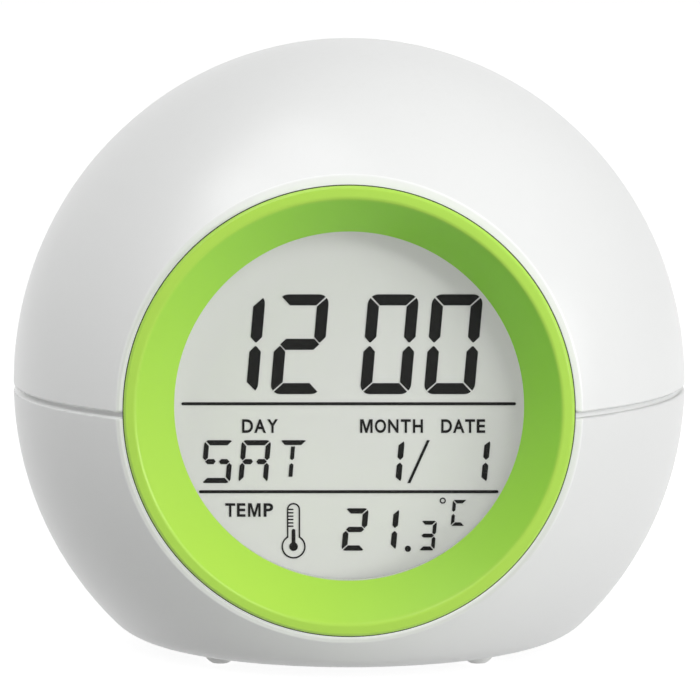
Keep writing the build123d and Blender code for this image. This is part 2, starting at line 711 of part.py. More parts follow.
def make_light_guide():
    return plate(glass_outline(-GUIDE_MARGIN, 0), GUIDE_Y, GUIDE_Y + GUIDE_T)


def make_contact_strip():
    """Elastomer strip between the ledge of the front glass and the main board."""
    middle = RING_Z - GLASS_HALF - GLASS_LEDGE / 2
    return slab(-STRIP_LENGTH / 2, STRIP_LENGTH / 2, INK_Y, BOARD_Y,
                middle - STRIP_T / 2, middle + STRIP_T / 2)


def segment_bar(start, end, stroke):
    """Pointed bar between two points, as on a segment display."""
    a, b = Vector(*start), Vector(*end)
    run = (b - a).normalized()
    side = Vector(-run.Y, run.X) * (stroke / 2)
    tip = run * (stroke / 2)
    return Polygon(*[(p.X, p.Y) for p in (a, a + tip + side, b - tip + side,
                                          b, b - tip - side, a + tip - side)], align=None)


def digit(x, low, size, lit):
    """Lit bars of one digit whose cell is centred on x."""
    width, height, stroke = size
    half, inset = width / 2 - stroke / 2, stroke / 2
    left, right = x - half, x + half
    bottom, middle, top = low + inset, low + height / 2, low + height - inset
    ends = {
        "a": ((left, top), (right, top)), "g": ((left, middle), (right, middle)),
        "d": ((left, bottom), (right, bottom)), "f": ((left, middle), (left, top)),
        "b": ((right, middle), (right, top)), "e": ((left, bottom), (left, middle)),
        "c": ((right, bottom), (right, middle)), "i": ((x, middle), (x, top)),
        "l": ((x, bottom), (x, middle)),
    }
    gap = SEGMENT_GAP / 2
    bars = []
    for name in lit:
        a, b = (Vector(*end) for end in ends[name])
        run = (b - a).normalized() * gap
        first, last = a + run, b - run
        lean = sin(radians(SLANT))
        bars.append(segment_bar((first.X + (first.Y - low) * lean, first.Y),
                                (last.X + (last.Y - low) * lean, last.Y), stroke))
    return bars


def make_lcd_segments():
    """Everything that the display shows, as one dark layer between the glasses."""
    shapes = []
    rows = ((TIME_DIGIT, TIME_LOW, TIME_PLACES), (WORD_DIGIT, WORD_LOW, WORD_PLACES),
            (TEMP_DIGIT, TEMP_LOW, TEMP_PLACES), (TENTH_DIGIT, TEMP_LOW, (TENTH_PLACE,)),
            (UNIT_DIGIT, UNIT_PLACE[1], ((UNIT_PLACE[0], UNIT_PLACE[2]),)))
    for size, low, places in rows:
        for x, lit in places:
            shapes += digit(x, low, size, lit)
    for z, half in RULES:
        shapes.append(Pos(0, z) * Rectangle(2 * half, RULE_T))
    shapes.append(Pos(*POINT_PLACE) * Circle(POINT_R))
    shapes.append(Pos(*DEGREE_PLACE) * (Circle(DEGREE_R) - Circle(DEGREE_R / 2)))
    x, z = BULB_PLACE
    glass = Pos(x, z) * Circle(BULB_R)
    glass = glass + Pos(x, (z + STEM_TOP) / 2) * Rectangle(2 * STEM_R, STEM_TOP - z)
    hollow = Pos(x, z) * Circle(BULB_R - RULE_T)
    hollow = hollow + Pos(x, (z + STEM_TOP - RULE_T) / 2) * Rectangle(
        2 * (STEM_R - RULE_T), STEM_TOP - RULE_T - z)
    shapes.append(glass - hollow)
    shapes.append(Pos(x, z) * Circle(BULB_R / 2)
                  + Pos(x, (z + MERCURY_TOP) / 2) * Rectangle(2 * MERCURY_R, MERCURY_TOP - z))
    return joined(plate(shape, INK_Y, REAR_GLASS_Y) for shape in shapes)


# ---- main board --------------------------------------------------------------------------

def make_main_board():
    outline = octagon(BOARD_HALF, BOARD_HALF, -BOARD_LOW, BOARD_CORNER, BOARD_CORNER)
    board = plate(outline, BOARD_Y, BOARD_BACK)
    for x, z in lug_places():
        board = board - level(SMALL_SCREW_R + SCREW_CLEAR, BOARD_Y - 1, BOARD_BACK + 1, x, z)
    return board


def make_side_lamps():
    """White lamps that shine into both edges of the light guide."""
    width, height, depth = SIDE_LAMP
    edge = GLASS_HALF - GUIDE_MARGIN + FIT_CLEAR
    lamps = []
    for side in (-1, 1):
        low, high = sorted((side * edge, side * (edge + width)))
        for z in (RING_Z - 3 * height, RING_Z + 3 * height):
            lamps.append(slab(low, high, BOARD_Y - depth, BOARD_Y, z - height / 2,
                              z + height / 2))
    return joined(lamps)


def make_controller():
    """Epoxy blob over the bare clock chip."""
    cap_r = (BLOB_R ** 2 + BLOB_H ** 2) / (2 * BLOB_H)
    ball = Pos(0, BOARD_BACK + BLOB_H - cap_r, RING_Z) * Sphere(cap_r)
    return ball & level(2 * BLOB_R, BOARD_BACK, BOARD_BACK + 2 * BLOB_H, 0, RING_Z)


def make_crystal():
    x = 2 * BLOB_R + CRYSTAL_R
    return Pos(x, BOARD_BACK + CRYSTAL_R, RING_Z + BLOB_R) * Cylinder(CRYSTAL_R, CRYSTAL_LENGTH)


def chip_places():
    """Rows of small parts on the back of the main board."""
    columns, rows = CHIP_GRID
    return [(side * (CHIP_START[0] + CHIP_STEP[0] * i), RING_Z - CHIP_START[1] - CHIP_STEP[1] * j)
            for side in (-1, 1) for i in range(columns) for j in range(rows)]


def make_components():
    width, height, depth = CHIP
    return joined(slab(x - width / 2, x + width / 2, BOARD_BACK, BOARD_BACK + depth,
                       z - height / 2, z + height / 2) for x, z in chip_places())


def make_sensor():
    """Thermistor bead at the edge of the main board."""
    x, z = -BOARD_HALF + 2 * SENSOR_R, RING_Z - BOARD_LOW / 2
    return Pos(x, BOARD_BACK + SENSOR_R, z) * Sphere(SENSOR_R) + level(
        SENSOR_R / 2, BOARD_BACK, BOARD_BACK + SENSOR_R, x, z)


# ---- deck and night light ----------------------------------------------------------------

def make_deck():
    """White reflector plate over the base, cut away round the display."""
    deck = upright(DECK_R, DECK_LOW, DECK_Z)
    notch_half = BOARD_HALF + DECK_NOTCH_GAP
    notch_back = BOARD_BACK + BLOB_H + DECK_NOTCH_GAP
    deck = deck - slab(-notch_half, notch_half, -2 * BALL_R, notch_back, -BALL_R, BALL_R)
    deck = deck - level(SHELL_HOLE_R, -2 * BALL_R, FRAME_Y + DECK_NOTCH_GAP, 0, RING_Z)
    deck = deck - slab(-2 * BALL_R, 2 * BALL_R, -2 * BALL_R, LAND_Y + 2 * WALL, -BALL_R, BALL_R)
    for x, y in post_places():
        deck = deck - upright(SCREW_R + SCREW_CLEAR, DECK_LOW - 1, DECK_Z + 1, x, y)
    for x, y in shoulder_places():
        deck = deck - upright(SHOULDER_R + RUN_CLEAR, DECK_LOW - 1, DECK_Z + 1, x, y)
    for x, y in light_screw_places():
        deck = deck - upright(SMALL_SCREW_R + SCREW_CLEAR, DECK_LOW - 1, DECK_Z + 1, x, y)
    return deck


def light_screw_places():
    return [(side * LIGHT_SCREW_X, y) for y in LIGHT_SCREW_ROWS for side in (-1, 1)]


def make_deck_screws():
    return joined(screw_down(x, y, DECK_Z, DECK_T + SCREW_BITE, SCREW_R, HEAD_R, HEAD_H)
                  for x, y in post_places())


def make_light_board():
    board = slab(-LIGHT_BOARD_HALF, LIGHT_BOARD_HALF, LIGHT_BOARD_FRONT, LIGHT_BOARD_R,
                 DECK_Z, LIGHT_Z) & upright(LIGHT_BOARD_R, DECK_Z - 1, LIGHT_Z + 1)
    for x, y in light_screw_places():
        board = board - upright(SMALL_SCREW_R + SCREW_CLEAR, DECK_Z - 1, LIGHT_Z + 1, x, y)
    return board


def make_light_screws():
    return joined(screw_down(x, y, LIGHT_Z, BOARD_T + DECK_T, SMALL_SCREW_R, SMALL_HEAD_R,
                             SMALL_HEAD_H) for x, y in light_screw_places())


def make_night_lamps():
    """Colour lamps with a round lens in a square body."""
    lamps = []
    for y in LAMP_ROWS:
        for x in (-LAMP_X, LAMP_X):
            half = LAMP_SIZE / 2
            lamp = slab(x - half, x + half, y - half, y + half, LIGHT_Z, LIGHT_Z + LAMP_H)
            lamp = lamp - upright(half * 0.8, LIGHT_Z + LAMP_H / 2, LIGHT_Z + 2 * LAMP_H, x, y)
            lamps.append(lamp)
    return joined(lamps)


def make_snooze_switch():
    half = SWITCH_SIZE / 2
    top = LIGHT_Z + SWITCH_H
    body = slab(-half, half, SNOOZE_Y - half, SNOOZE_Y + half, LIGHT_Z, top)
    bore_low = top - PLUNGER_IN - PRESS_TRAVEL - RUN_CLEAR
    return body - upright(PLUNGER_R + FIT_CLEAR, bore_low, top + 1, 0, SNOOZE_Y)


def make_snooze_plunger():
    return upright(PLUNGER_R, SNOOZE_TOP - SNOOZE_PLUNGER - PLUNGER_IN, SNOOZE_TOP, 0, SNOOZE_Y)


def make_dome_screws():
    """Shoulder screws that hold the dome down on its springs."""
    head_top = DECK_LOW - WASHER_T
    screws = []
    for x, y in shoulder_places():
        shank = upright(SHOULDER_R, head_top, BOSS_Z + SHOULDER_BITE - FIT_CLEAR, x, y)
        head = upright(HEAD_R, head_top - HEAD_H, head_top, x, y)
        slot = slab(x - HEAD_R * 0.7, x + HEAD_R * 0.7, y - 0.2, y + 0.2,
                    head_top - HEAD_H - 1, head_top - HEAD_H / 2)
        screws.append(shank + head - slot)
    return joined(screws)


def make_dome_washers():
    low = DECK_LOW - WASHER_T
    return joined(upright(WASHER_R, low, DECK_LOW, x, y)
                  - upright(SHOULDER_R + SCREW_CLEAR, low - 1, DECK_LOW + 1, x, y)
                  for x, y in shoulder_places())


def make_dome_springs():
    spring = coil(SPRING_R, SPRING_WIRE, BOSS_Z - DECK_Z, SPRING_TURNS)
    return joined(Pos(x, y, DECK_Z) * spring for x, y in shoulder_places())


# ---- keys and light switch ---------------------------------------------------------------

def make_key(x):
    """Key cap that follows the ball, with a flange inside and a nose on its plunger."""
    flange = key_flange_y(x)
    cap = level(KEY_R, flange, 2 * BALL_R, x, KEY_Z) & Sphere(BALL_R + KEY_PROUD)
    cap = cap + level(KEY_R + KEY_FLANGE, flange - KEY_FLANGE_T, flange, x, KEY_Z)
    return cap + level(KEY_NOSE_R, PLUNGER_Y, flange, x, KEY_Z)


def make_key_plunger(x):
    return level(PLUNGER_R, PLUNGER_Y - KEY_PLUNGER - PLUNGER_IN, PLUNGER_Y, x, KEY_Z)


def make_key_switches():
    half = SWITCH_SIZE / 2
    back = KEY_SWITCH_Y + SWITCH_H
    bodies = []
    for x in KEY_X:
        body = slab(x - half, x + half, KEY_SWITCH_Y, back, KEY_Z - half, KEY_Z + half)
        bore = back - PLUNGER_IN - KEY_TRAVEL - RUN_CLEAR
        bodies.append(body - level(PLUNGER_R + FIT_CLEAR, bore, back + 1, x, KEY_Z))
    return joined(bodies)


def make_key_board():
    board = slab(-KEY_BOARD_HALF, KEY_BOARD_HALF, KEY_BOARD_Y, KEY_SWITCH_Y,
                 KEY_BOARD_LOW, KEY_BOARD_TOP)
    for x, z in KEY_POSTS:
        board = board - level(SMALL_SCREW_R + SCREW_CLEAR, KEY_BOARD_Y - 1, KEY_SWITCH_Y + 1,
                              x, z)
    return board


def make_key_screws():
    return joined(screw_level(x, z, KEY_BOARD_Y, KEY_SWITCH_Y + SCREW_BITE, SMALL_SCREW_R,
                              SMALL_HEAD_R, SMALL_HEAD_H) for x, z in KEY_POSTS)


def make_slide_body():
    width, height, depth = SLIDE_BODY
    body = slab(-width / 2, width / 2, KEY_SWITCH_Y, KEY_SWITCH_Y + depth,
                SLIDE_Z - height / 2, SLIDE_Z + height / 2)
    half = (SLIDE_TRAVEL + SLIDE_STEM[0]) / 2 + RUN_CLEAR
    rise = SLIDE_STEM[1] / 2 + RUN_CLEAR
    floor = KEY_SWITCH_Y + depth - SLIDE_STEM_IN - RUN_CLEAR
    return body - slab(-half, half, floor, KEY_SWITCH_Y + depth + 1, SLIDE_Z - rise,
                       SLIDE_Z + rise)


def make_slide_knob():
    """Sliding knob at its left stop, with its dust plate and the stem in the switch."""
    x = -SLIDE_TRAVEL / 2
    stem_half, stem_rise = SLIDE_STEM[0] / 2, SLIDE_STEM[1] / 2
    knob_half, knob_rise = SLIDE_KNOB[0] / 2, SLIDE_KNOB[1] / 2
    pad_half, pad_rise = SLIDE_PAD[0] / 2, SLIDE_PAD[1] / 2
    corner = depth_inside(INNER_R, abs(x) + pad_half, SLIDE_Z - pad_rise)
    pad_back = corner - SLIDE_PAD_GAP
    stem_front = KEY_SWITCH_Y + SLIDE_BODY[2] - SLIDE_STEM_IN
    knob = slab(x - knob_half, x + knob_half, pad_back, 2 * BALL_R,
                SLIDE_Z - knob_rise, SLIDE_Z + knob_rise) & Sphere(BALL_R + SLIDE_PROUD)
    knob = knob + slab(x - pad_half, x + pad_half, pad_back - SLIDE_PAD[2], pad_back,
                       SLIDE_Z - pad_rise, SLIDE_Z + pad_rise)
    return knob + slab(x - stem_half, x + stem_half, stem_front, pad_back,
                       SLIDE_Z - stem_rise, SLIDE_Z + stem_rise)


# ---- loudspeaker -------------------------------------------------------------------------

def speaker_face():
    """Distance of the loudspeaker's rim from the ball centre."""
    return sqrt(INNER_R ** 2 - SPEAKER_R ** 2) - SPEAKER_GASKET_T


def make_gasket():
    face = speaker_face()
    ring = disc(SPEAKER_R, face, BALL_R) - disc(SPEAKER_R - SPEAKER_RIM, face - 1, BALL_R + 1)
    return ring & Sphere(INNER_R - SCREW_CLEAR)


def make_speaker_frame():
    face = speaker_face()
    back = face - SPEAKER_RIM_T
    inner = SPEAKER_R - SPEAKER_RIM
    frame = disc(SPEAKER_R, back, face)
    frame = frame + disc(SPEAKER_BASKET_R, back - SPEAKER_BASKET_H, back)
    frame = frame - disc(inner, face - CONE_T, face + 1)
    return frame - disc(SPEAKER_BASKET_R - SPEAKER_BASKET_WALL,
                        back - SPEAKER_BASKET_H + SPEAKER_BASKET_WALL, face + 1)


def make_speaker_cone():
    face = speaker_face()
    return disc(SPEAKER_R - SPEAKER_RIM, face - CONE_T, face)


def make_speaker_magnet():
    back = speaker_face() - SPEAKER_RIM_T - SPEAKER_BASKET_H
    return disc(MAGNET_R, back - MAGNET_H, back)


# ---- leads -------------------------------------------------------------------------------

def route(points):
    """Straight runs joined by arcs as large as the runs allow."""
    stops = [Vector(*point) for point in points]
    radii = []
    for before, here, after in zip(stops, stops[1:], stops[2:]):
        turn = radians((here - before).get_angle(after - here))
        shorter = min((here - before).length, (after - here).length)
        radii.append(0.45 * shorter / tan(turn / 2))
    return FilletPolyline(*stops, radius=radii)


def lead(points):
    """Round wire along a route."""
    path = route(points)
    return sweep(Plane(origin=path @ 0, z_dir=path % 0) * Circle(LEAD_R), path=path)


def ribbon():
    """Flat cable above the batteries, from the main board to the key board."""
    start = BOARD_BACK + SOCKET[1]
    end = KEY_BOARD_Y - SOCKET[1]
    path = route([(0, start, KEY_SOCKET_Z), (0, start + LEAD_EXIT, KEY_SOCKET_Z),
                  (0, *RIBBON_DIP), (0, end - LEAD_EXIT, KEY_SOCKET_Z),
                  (0, end, KEY_SOCKET_Z)])
    section = Plane(origin=path @ 0, x_dir=(1, 0, 0), z_dir=path % 0)
    return sweep(section * Rectangle(RIBBON_LEADS * LEAD_SPACING, RIBBON_T), path=path)


def socket_width(leads):
    return (leads - 1) * LEAD_SPACING + 2 * (LEAD_R + SOCKET_RIM)


def board_socket(x, z, leads):
    """Lead socket on the back of the main board."""
    half = socket_width(leads) / 2
    return slab(x - half, x + half, BOARD_BACK, BOARD_BACK + SOCKET[1],
                z - SOCKET[0] / 2, z + SOCKET[0] / 2)


def make_sockets():
    half = socket_width(RIBBON_LEADS) / 2
    key_side = slab(-half, half, KEY_BOARD_Y - SOCKET[1], KEY_BOARD_Y,
                    KEY_SOCKET_Z - SOCKET[0] / 2, KEY_SOCKET_Z + SOCKET[0] / 2)
    x = LIGHT_SOCKET[0]
    half = socket_width(LIGHT_LEADS) / 2
    light_side = slab(x - half, x + half, LIGHT_SOCKET_Y - SOCKET[0] / 2,
                      LIGHT_SOCKET_Y + SOCKET[0] / 2, LIGHT_Z, LIGHT_Z + SOCKET[1])
    return joined([
        board_socket(*BATTERY_SOCKET, 2), board_socket(*SPEAKER_SOCKET, 2),
        board_socket(0, KEY_SOCKET_Z, RIBBON_LEADS),
        board_socket(x, LIGHT_SOCKET[1], LIGHT_LEADS), key_side, light_side,
    ])


def make_light_leads():
    """Leads that drop from the main board to the night light board."""
    start = BOARD_BACK + SOCKET[1]
    x = LIGHT_SOCKET[0]
    leads = []
    for i in range(LIGHT_LEADS):
        across = x + (i - (LIGHT_LEADS - 1) / 2) * LEAD_SPACING
        leads.append(lead([(across, start, LIGHT_SOCKET[1]),
                           (across, LIGHT_SOCKET_Y, LIGHT_SOCKET[1]),
                           (across, LIGHT_SOCKET_Y, LIGHT_Z + SOCKET[1])]))
    return joined(leads)


def make_battery_leads():
    """Leads from the end contacts, through the roof of the tray, to the main board."""
    start = BOARD_BACK + SOCKET[1]
    contact_top = CELL_Z + CONTACT_R
    x, z = BATTERY_SOCKET
    leads = []
    for row, offset in ((0, LEAD_SPACING / 2), (-1, -LEAD_SPACING / 2)):
        y = CELL_ROWS[row]
        leads.append(lead([(x + offset, start, z), (x + offset, start + LEAD_EXIT, z),
                           (BAY_LEAD_X, y, z + 2 * offset), (BAY_LEAD_X, y, contact_top)]))
    return joined(leads)


def make_speaker_leads():
    start = BOARD_BACK + SOCKET[1]
    x, z = SPEAKER_SOCKET
    back = speaker_plane(speaker_face() - SPEAKER_RIM_T - SPEAKER_BASKET_H)
    leads = []
    for offset in (-LEAD_SPACING / 2, LEAD_SPACING / 2):
        near = back.from_local_coords(Vector(TERMINAL_R, offset, -TERMINAL_RUN))
        end = back.from_local_coords(Vector(TERMINAL_R, offset, 0))
        turns = [(tx + offset, ty, tz) for tx, ty, tz in SPEAKER_TURNS]
        leads.append(lead([(x + offset, start, z), (x + offset, start + LEAD_EXIT, z)]
                          + turns + [tuple(near), tuple(end)]))
    return joined(leads)


# ---- batteries ---------------------------------------------------------------------------

def make_tray():
    """Cover of the battery bay, open below, with an ear at each side."""
    tray = slab(-TRAY_HALF, TRAY_HALF, BAY_FRONT - TRAY_WALL, BAY_REAR + TRAY_WALL,
                FLOOR_Z + TRAY_LIFT, TRAY_TOP)
    for side in (-1, 1):
        low, high = sorted((side * (TRAY_HALF - 1), side * EAR_X))
        tray = tray + slab(low, high, CELL_MID_Y - EAR_R, CELL_MID_Y + EAR_R,
                           BAY_TOP, TRAY_TOP)
        tray = tray + upright(EAR_R, BAY_TOP, TRAY_TOP, side * EAR_X, CELL_MID_Y)
    tray = tray - slab(-BAY_HALF, BAY_HALF, BAY_FRONT, BAY_REAR, -BALL_R, BAY_TOP)
    for side in (-1, 1):
        tray = tray - upright(SCREW_R + SCREW_CLEAR, BAY_TOP - 1, TRAY_TOP + 1,
                              side * EAR_X, CELL_MID_Y)
        edge = DOOR_HALF - DOOR_SEAM - RAIL_ROOT - RUN_CLEAR
        low, high = sorted((side * edge, side * 2 * BALL_R))
        rail_top = FLOOR_Z + RAIL_GAP + RAIL_T + RUN_CLEAR
        tray = tray - slab(low, high, -BALL_R, BALL_R, -BALL_R, rail_top)
    for row in (0, -1):
        tray = tray - upright(LEAD_R + FIT_CLEAR, BAY_TOP - 1, TRAY_TOP + 1,
                              BAY_LEAD_X, CELL_ROWS[row])
    room = spun(base_section(INNER_R - LIP_CLEAR, BASE_DROP - WALL - FIT_CLEAR,
                             BASE_ROUND - WALL, 0))
    return tray & room


def cell_sides():
    """Row and spring side of each cell, turned end for end in series."""
    return [(y, 1 if i % 2 == 0 else -1) for i, y in enumerate(CELL_ROWS)]


def along_x(radius, low, high, y, z):
    return Pos((low + high) / 2, y, z) * Rot(0, 90, 0) * Cylinder(radius, high - low)


def make_cells():
    cells = []
    for y, side in cell_sides():
        plus = -side * (BAY_HALF - CONTACT_T)
        shoulder = plus + side * CELL_NUB
        minus = plus + side * CELL_LENGTH
        body = along_x(CELL_R, min(shoulder, minus), max(shoulder, minus), y, CELL_Z)
        cells.append(body + along_x(CELL_NUB_R, min(plus, shoulder), max(plus, shoulder), y,
                                    CELL_Z))
    return joined(cells)


def make_contacts():
    plates = []
    for y in CELL_ROWS:
        for side in (-1, 1):
            low, high = sorted((side * (BAY_HALF - CONTACT_T), side * BAY_HALF))
            plates.append(slab(low, high, y - CONTACT_R, y + CONTACT_R,
                               CELL_Z - CONTACT_R, CELL_Z + CONTACT_R))
    return joined(plates)


def make_cell_springs():
    spring = coil(CELL_SPRING_R, CELL_SPRING_WIRE, CELL_SPRING, CELL_SPRING_TURNS)
    springs = []
    for y, side in cell_sides():
        springs.append(Pos(side * (BAY_HALF - CONTACT_T), y, CELL_Z) * Rot(0, -90 * side, 0)
                       * spring)
    return joined(springs)


def make_tray_screws():
    return joined(screw_down(x, CELL_MID_Y, TRAY_TOP, TRAY_WALL + SCREW_BITE, SCREW_R, HEAD_R,
                             HEAD_H) for x in (-EAR_X, EAR_X))


def make_stand_screws():
    return joined(screw_down(x, STAND_Y, STAND_TOP, STAND_T + SCREW_BITE, SCREW_R, HEAD_R,
                             HEAD_H) for x in (-STAND_X, STAND_X))


# ---- export ------------------------------------------------------------------------------

def save(name, shape):
    """Writes one sub-part in the part's own frame."""
    export_step(Pos(0, BALL_Y, BALL_Z) * shape, f"parts/{name}.step")


def main():
    os.makedirs("parts", exist_ok=True)
    save("base_shell", make_base_shell())
    save("dome_shell", make_dome_shell())
    save("bezel_ring", make_bezel_ring())
    save("window_lens", make_window_lens())
    save("display_frame", make_display_frame())
    save("bezel_screws", make_bezel_screws())
    save("lcd_front_glass", make_front_glass())
    save("lcd_segments", make_lcd_segments())
    save("lcd_rear_glass", make_rear_glass())
    save("lcd_reflector", make_reflector())
    save("light_guide", make_light_guide())
    save("backlight_lamps", make_side_lamps())
    save("contact_strip", make_contact_strip())
    save("main_board", make_main_board())
    save("main_board_screws", make_board_screws())
    save("display_stand_screws", make_stand_screws())
    save("controller_blob", make_controller())
    save("timing_crystal", make_crystal())
    save("board_components", make_components())
    save("temperature_sensor", make_sensor())
    save("reflector_deck", make_deck())
    save("deck_screws", make_deck_screws())
    save("night_light_board", make_light_board())
    save("night_light_screws", make_light_screws())
    save("night_light_lamps", make_night_lamps())
    save("snooze_switch", make_snooze_switch())
    save("snooze_plunger", make_snooze_plunger())
    save("dome_screws", make_dome_screws())
    save("dome_washers", make_dome_washers())
    save("dome_springs", make_dome_springs())
    for name, x in zip(KEY_NAMES, KEY_X):
        save(f"{name}_key", make_key(x))
        save(f"{name}_plunger", make_key_plunger(x))
    save("key_switches", make_key_switches())
    save("key_board", make_key_board())
    save("key_board_screws", make_key_screws())
    save("light_switch_body", make_slide_body())
    save("light_switch_knob", make_slide_knob())
    save("speaker_gasket", make_gasket())
    save("speaker_frame", make_speaker_frame())
    save("speaker_cone", make_speaker_cone())
    save("speaker_magnet", make_speaker_magnet())
    save("lead_sockets", make_sockets())
    save("key_ribbon", ribbon())
    save("light_leads", make_light_leads())
    save("battery_leads", make_battery_leads())
    save("speaker_leads", make_speaker_leads())
    save("battery_tray", make_tray())
    save("battery_cells", make_cells())
    save("battery_contacts", make_contacts())
    save("battery_springs", make_cell_springs())
    save("tray_screws", make_tray_screws())
    save("battery_door", make_battery_door())
    save("front_feet", make_feet(-FOOT_Y))
    save("rear_feet", make_feet(FOOT_Y))


main()
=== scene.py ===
"""Ball-shaped kids' alarm clock with a night light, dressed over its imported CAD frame."""
import json
from math import acos, asin, cos, degrees, pi, radians, sin, sqrt, tan

import bmesh
import bpy
import numpy as np
from bpy.props import (FloatProperty, FloatVectorProperty, IntProperty, PointerProperty,
                       StringProperty)
from mathutils import Matrix, Vector


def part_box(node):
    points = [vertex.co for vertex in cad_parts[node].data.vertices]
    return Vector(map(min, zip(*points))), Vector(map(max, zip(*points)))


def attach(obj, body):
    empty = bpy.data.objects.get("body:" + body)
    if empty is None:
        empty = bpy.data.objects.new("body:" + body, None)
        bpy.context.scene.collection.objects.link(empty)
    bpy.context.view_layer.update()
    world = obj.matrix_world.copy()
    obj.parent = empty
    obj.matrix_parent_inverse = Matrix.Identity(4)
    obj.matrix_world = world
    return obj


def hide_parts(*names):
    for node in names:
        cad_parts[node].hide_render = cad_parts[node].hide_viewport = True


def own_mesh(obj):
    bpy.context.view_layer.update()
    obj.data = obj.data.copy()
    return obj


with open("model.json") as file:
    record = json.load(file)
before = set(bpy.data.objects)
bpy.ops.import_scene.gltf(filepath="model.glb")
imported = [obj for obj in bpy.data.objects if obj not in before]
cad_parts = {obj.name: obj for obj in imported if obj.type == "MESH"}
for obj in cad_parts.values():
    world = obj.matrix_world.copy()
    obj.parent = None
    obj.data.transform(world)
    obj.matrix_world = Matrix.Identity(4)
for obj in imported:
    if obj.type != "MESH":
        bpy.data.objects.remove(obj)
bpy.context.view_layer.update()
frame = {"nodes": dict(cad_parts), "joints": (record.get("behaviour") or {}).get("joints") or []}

bl_info = {
    "name": "Ball alarm clock",
    "version": (1, 0, 0),
    "blender": (4, 5, 0),
    "location": "View3D > Sidebar > Clock",
    "description": "Builds the shells, ring, display, keys and stage of a ball-shaped alarm clock",
    "category": "Object",
}

MM = 0.001

# Places taken from the frame: the ball centre, the ring axis and the layers of the display
DOME_LOW, DOME_HIGH = (Vector(corner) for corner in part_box("dome_shell"))
RING_LOW, RING_HIGH = (Vector(corner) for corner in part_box("bezel_ring"))
BALL_R = (DOME_HIGH.x - DOME_LOW.x) / 2 / MM
DOME_RISE = BALL_R + 1.0
WALL = 2.0
RING_COVER = 1.12
LAND_DEPTH = 1.1
CENTRE = Vector((0.0, DOME_HIGH.y - BALL_R * MM, DOME_HIGH.z - DOME_RISE * MM))
RING_Z = ((RING_LOW.z + RING_HIGH.z) / 2 - CENTRE.z) / MM
RING_EDGE_R = (RING_HIGH.x - RING_LOW.x) / 2 / MM
SHELL_HOLE_R = RING_EDGE_R - RING_COVER
CREST_Y = (RING_LOW.y - CENTRE.y) / MM
LAND_Y = CREST_Y + LAND_DEPTH
SEAM_Z = (DOME_LOW.z - CENTRE.z) / MM

# The ring: edge as it is drawn, window, its stretch in height, and the offset of the print
EDGE_R = RING_EDGE_R - 0.15
WINDOW_R = 22.3
CLEAR_R = 22.85
TALLER = 1.006
PRINT_X, PRINT_Z = -0.08, 0.04

# Rear and underside
KEYS = (("mode", "MODE", -13.5), ("set", "SET", -4.5), ("up", "UP", 4.5), ("down", "DOWN", 13.5))
KEY_Z = -10.8
KEY_R = 3.0
SLIDE_Z = -17.2
FOOT_R = 2.2
BASE_FLAT = -33.9


def depth(node, end):
    """Depth of one end of a node from the ball centre, in millimetres; 0 is its front."""
    return (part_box(node)[end][1] - CENTRE.y) / MM


def at(x, y, z):
    """Point given in millimetres from the ball centre."""
    return CENTRE + Vector((x, y, z)) * MM


def linear(*colour):
    """Linear colour from its 0 to 255 display values."""
    return tuple(((c / 255 + 0.055) / 1.055) ** 2.4 for c in colour)


# ---- nodes ----

def add(tree, kind, inputs=None, **settings):
    """Adds a node; an input takes a value or the socket that feeds it."""
    node = tree.nodes.new(kind)
    for key, value in settings.items():
        setattr(node, key, value)
    for key, value in (inputs or {}).items():
        if isinstance(value, bpy.types.NodeSocket):
            tree.links.new(value, node.inputs[key])
        else:
            node.inputs[key].default_value = value
    return node


def calc(tree, operation, *values, clamp=False):
    """Output of a Math node."""
    node = add(tree, "ShaderNodeMath", dict(enumerate(values)), operation=operation)
    node.use_clamp = clamp
    return node.outputs[0]


def distance(tree, a, b):
    """Output that is the length of a vector with two parts."""
    return calc(tree, "SQRT", calc(tree, "ADD", calc(tree, "MULTIPLY", a, a),
                                   calc(tree, "MULTIPLY", b, b)))


def object_place(tree):
    """Place on the object as a vector output."""
    return add(tree, "ShaderNodeTexCoord").outputs["Object"]


def object_parts(tree):
    """Place on the object as X, Y and Z outputs."""
    return add(tree, "ShaderNodeSeparateXYZ", {0: object_place(tree)}).outputs


def noise(tree, place, scale, detail=2.0):
    """Output of a Noise Texture node."""
    return add(tree, "ShaderNodeTexNoise",
               {"Vector": place, "Scale": scale, "Detail": detail}).outputs["Fac"]


def mixed(tree, share, first, second, blend="MIX"):
    """Output of a colour Mix node."""
    return add(tree, "ShaderNodeMix", {0: share, 6: first, 7: second},
               data_type="RGBA", blend_type=blend).outputs[2]


def scaled(tree, colour, factor):
    """Colour output multiplied by a number."""
    return add(tree, "ShaderNodeVectorMath", {0: colour, "Scale": factor},
               operation="SCALE").outputs[0]


def new_group(name, kind, inputs, outputs):
    """Node group with named sockets, and its input node's outputs by name."""
    tree = bpy.data.node_groups.new(name, kind)
    for label, socket, default in inputs:
        made = tree.interface.new_socket(label, in_out="INPUT", socket_type=socket)
        if default is not None:
            made.default_value = default
    for label, socket in outputs:
        tree.interface.new_socket(label, in_out="OUTPUT", socket_type=socket)
    return tree, tree.nodes.new("NodeGroupInput").outputs


def finish_group(tree, **values):
    """Feeds a group's outputs; underscores stand for the blanks in their names."""
    add(tree, "NodeGroupOutput", {key.replace("_", " "): value for key, value in values.items()})
    return tree


FLOAT, COLOUR = "NodeSocketFloat", "NodeSocketColor"


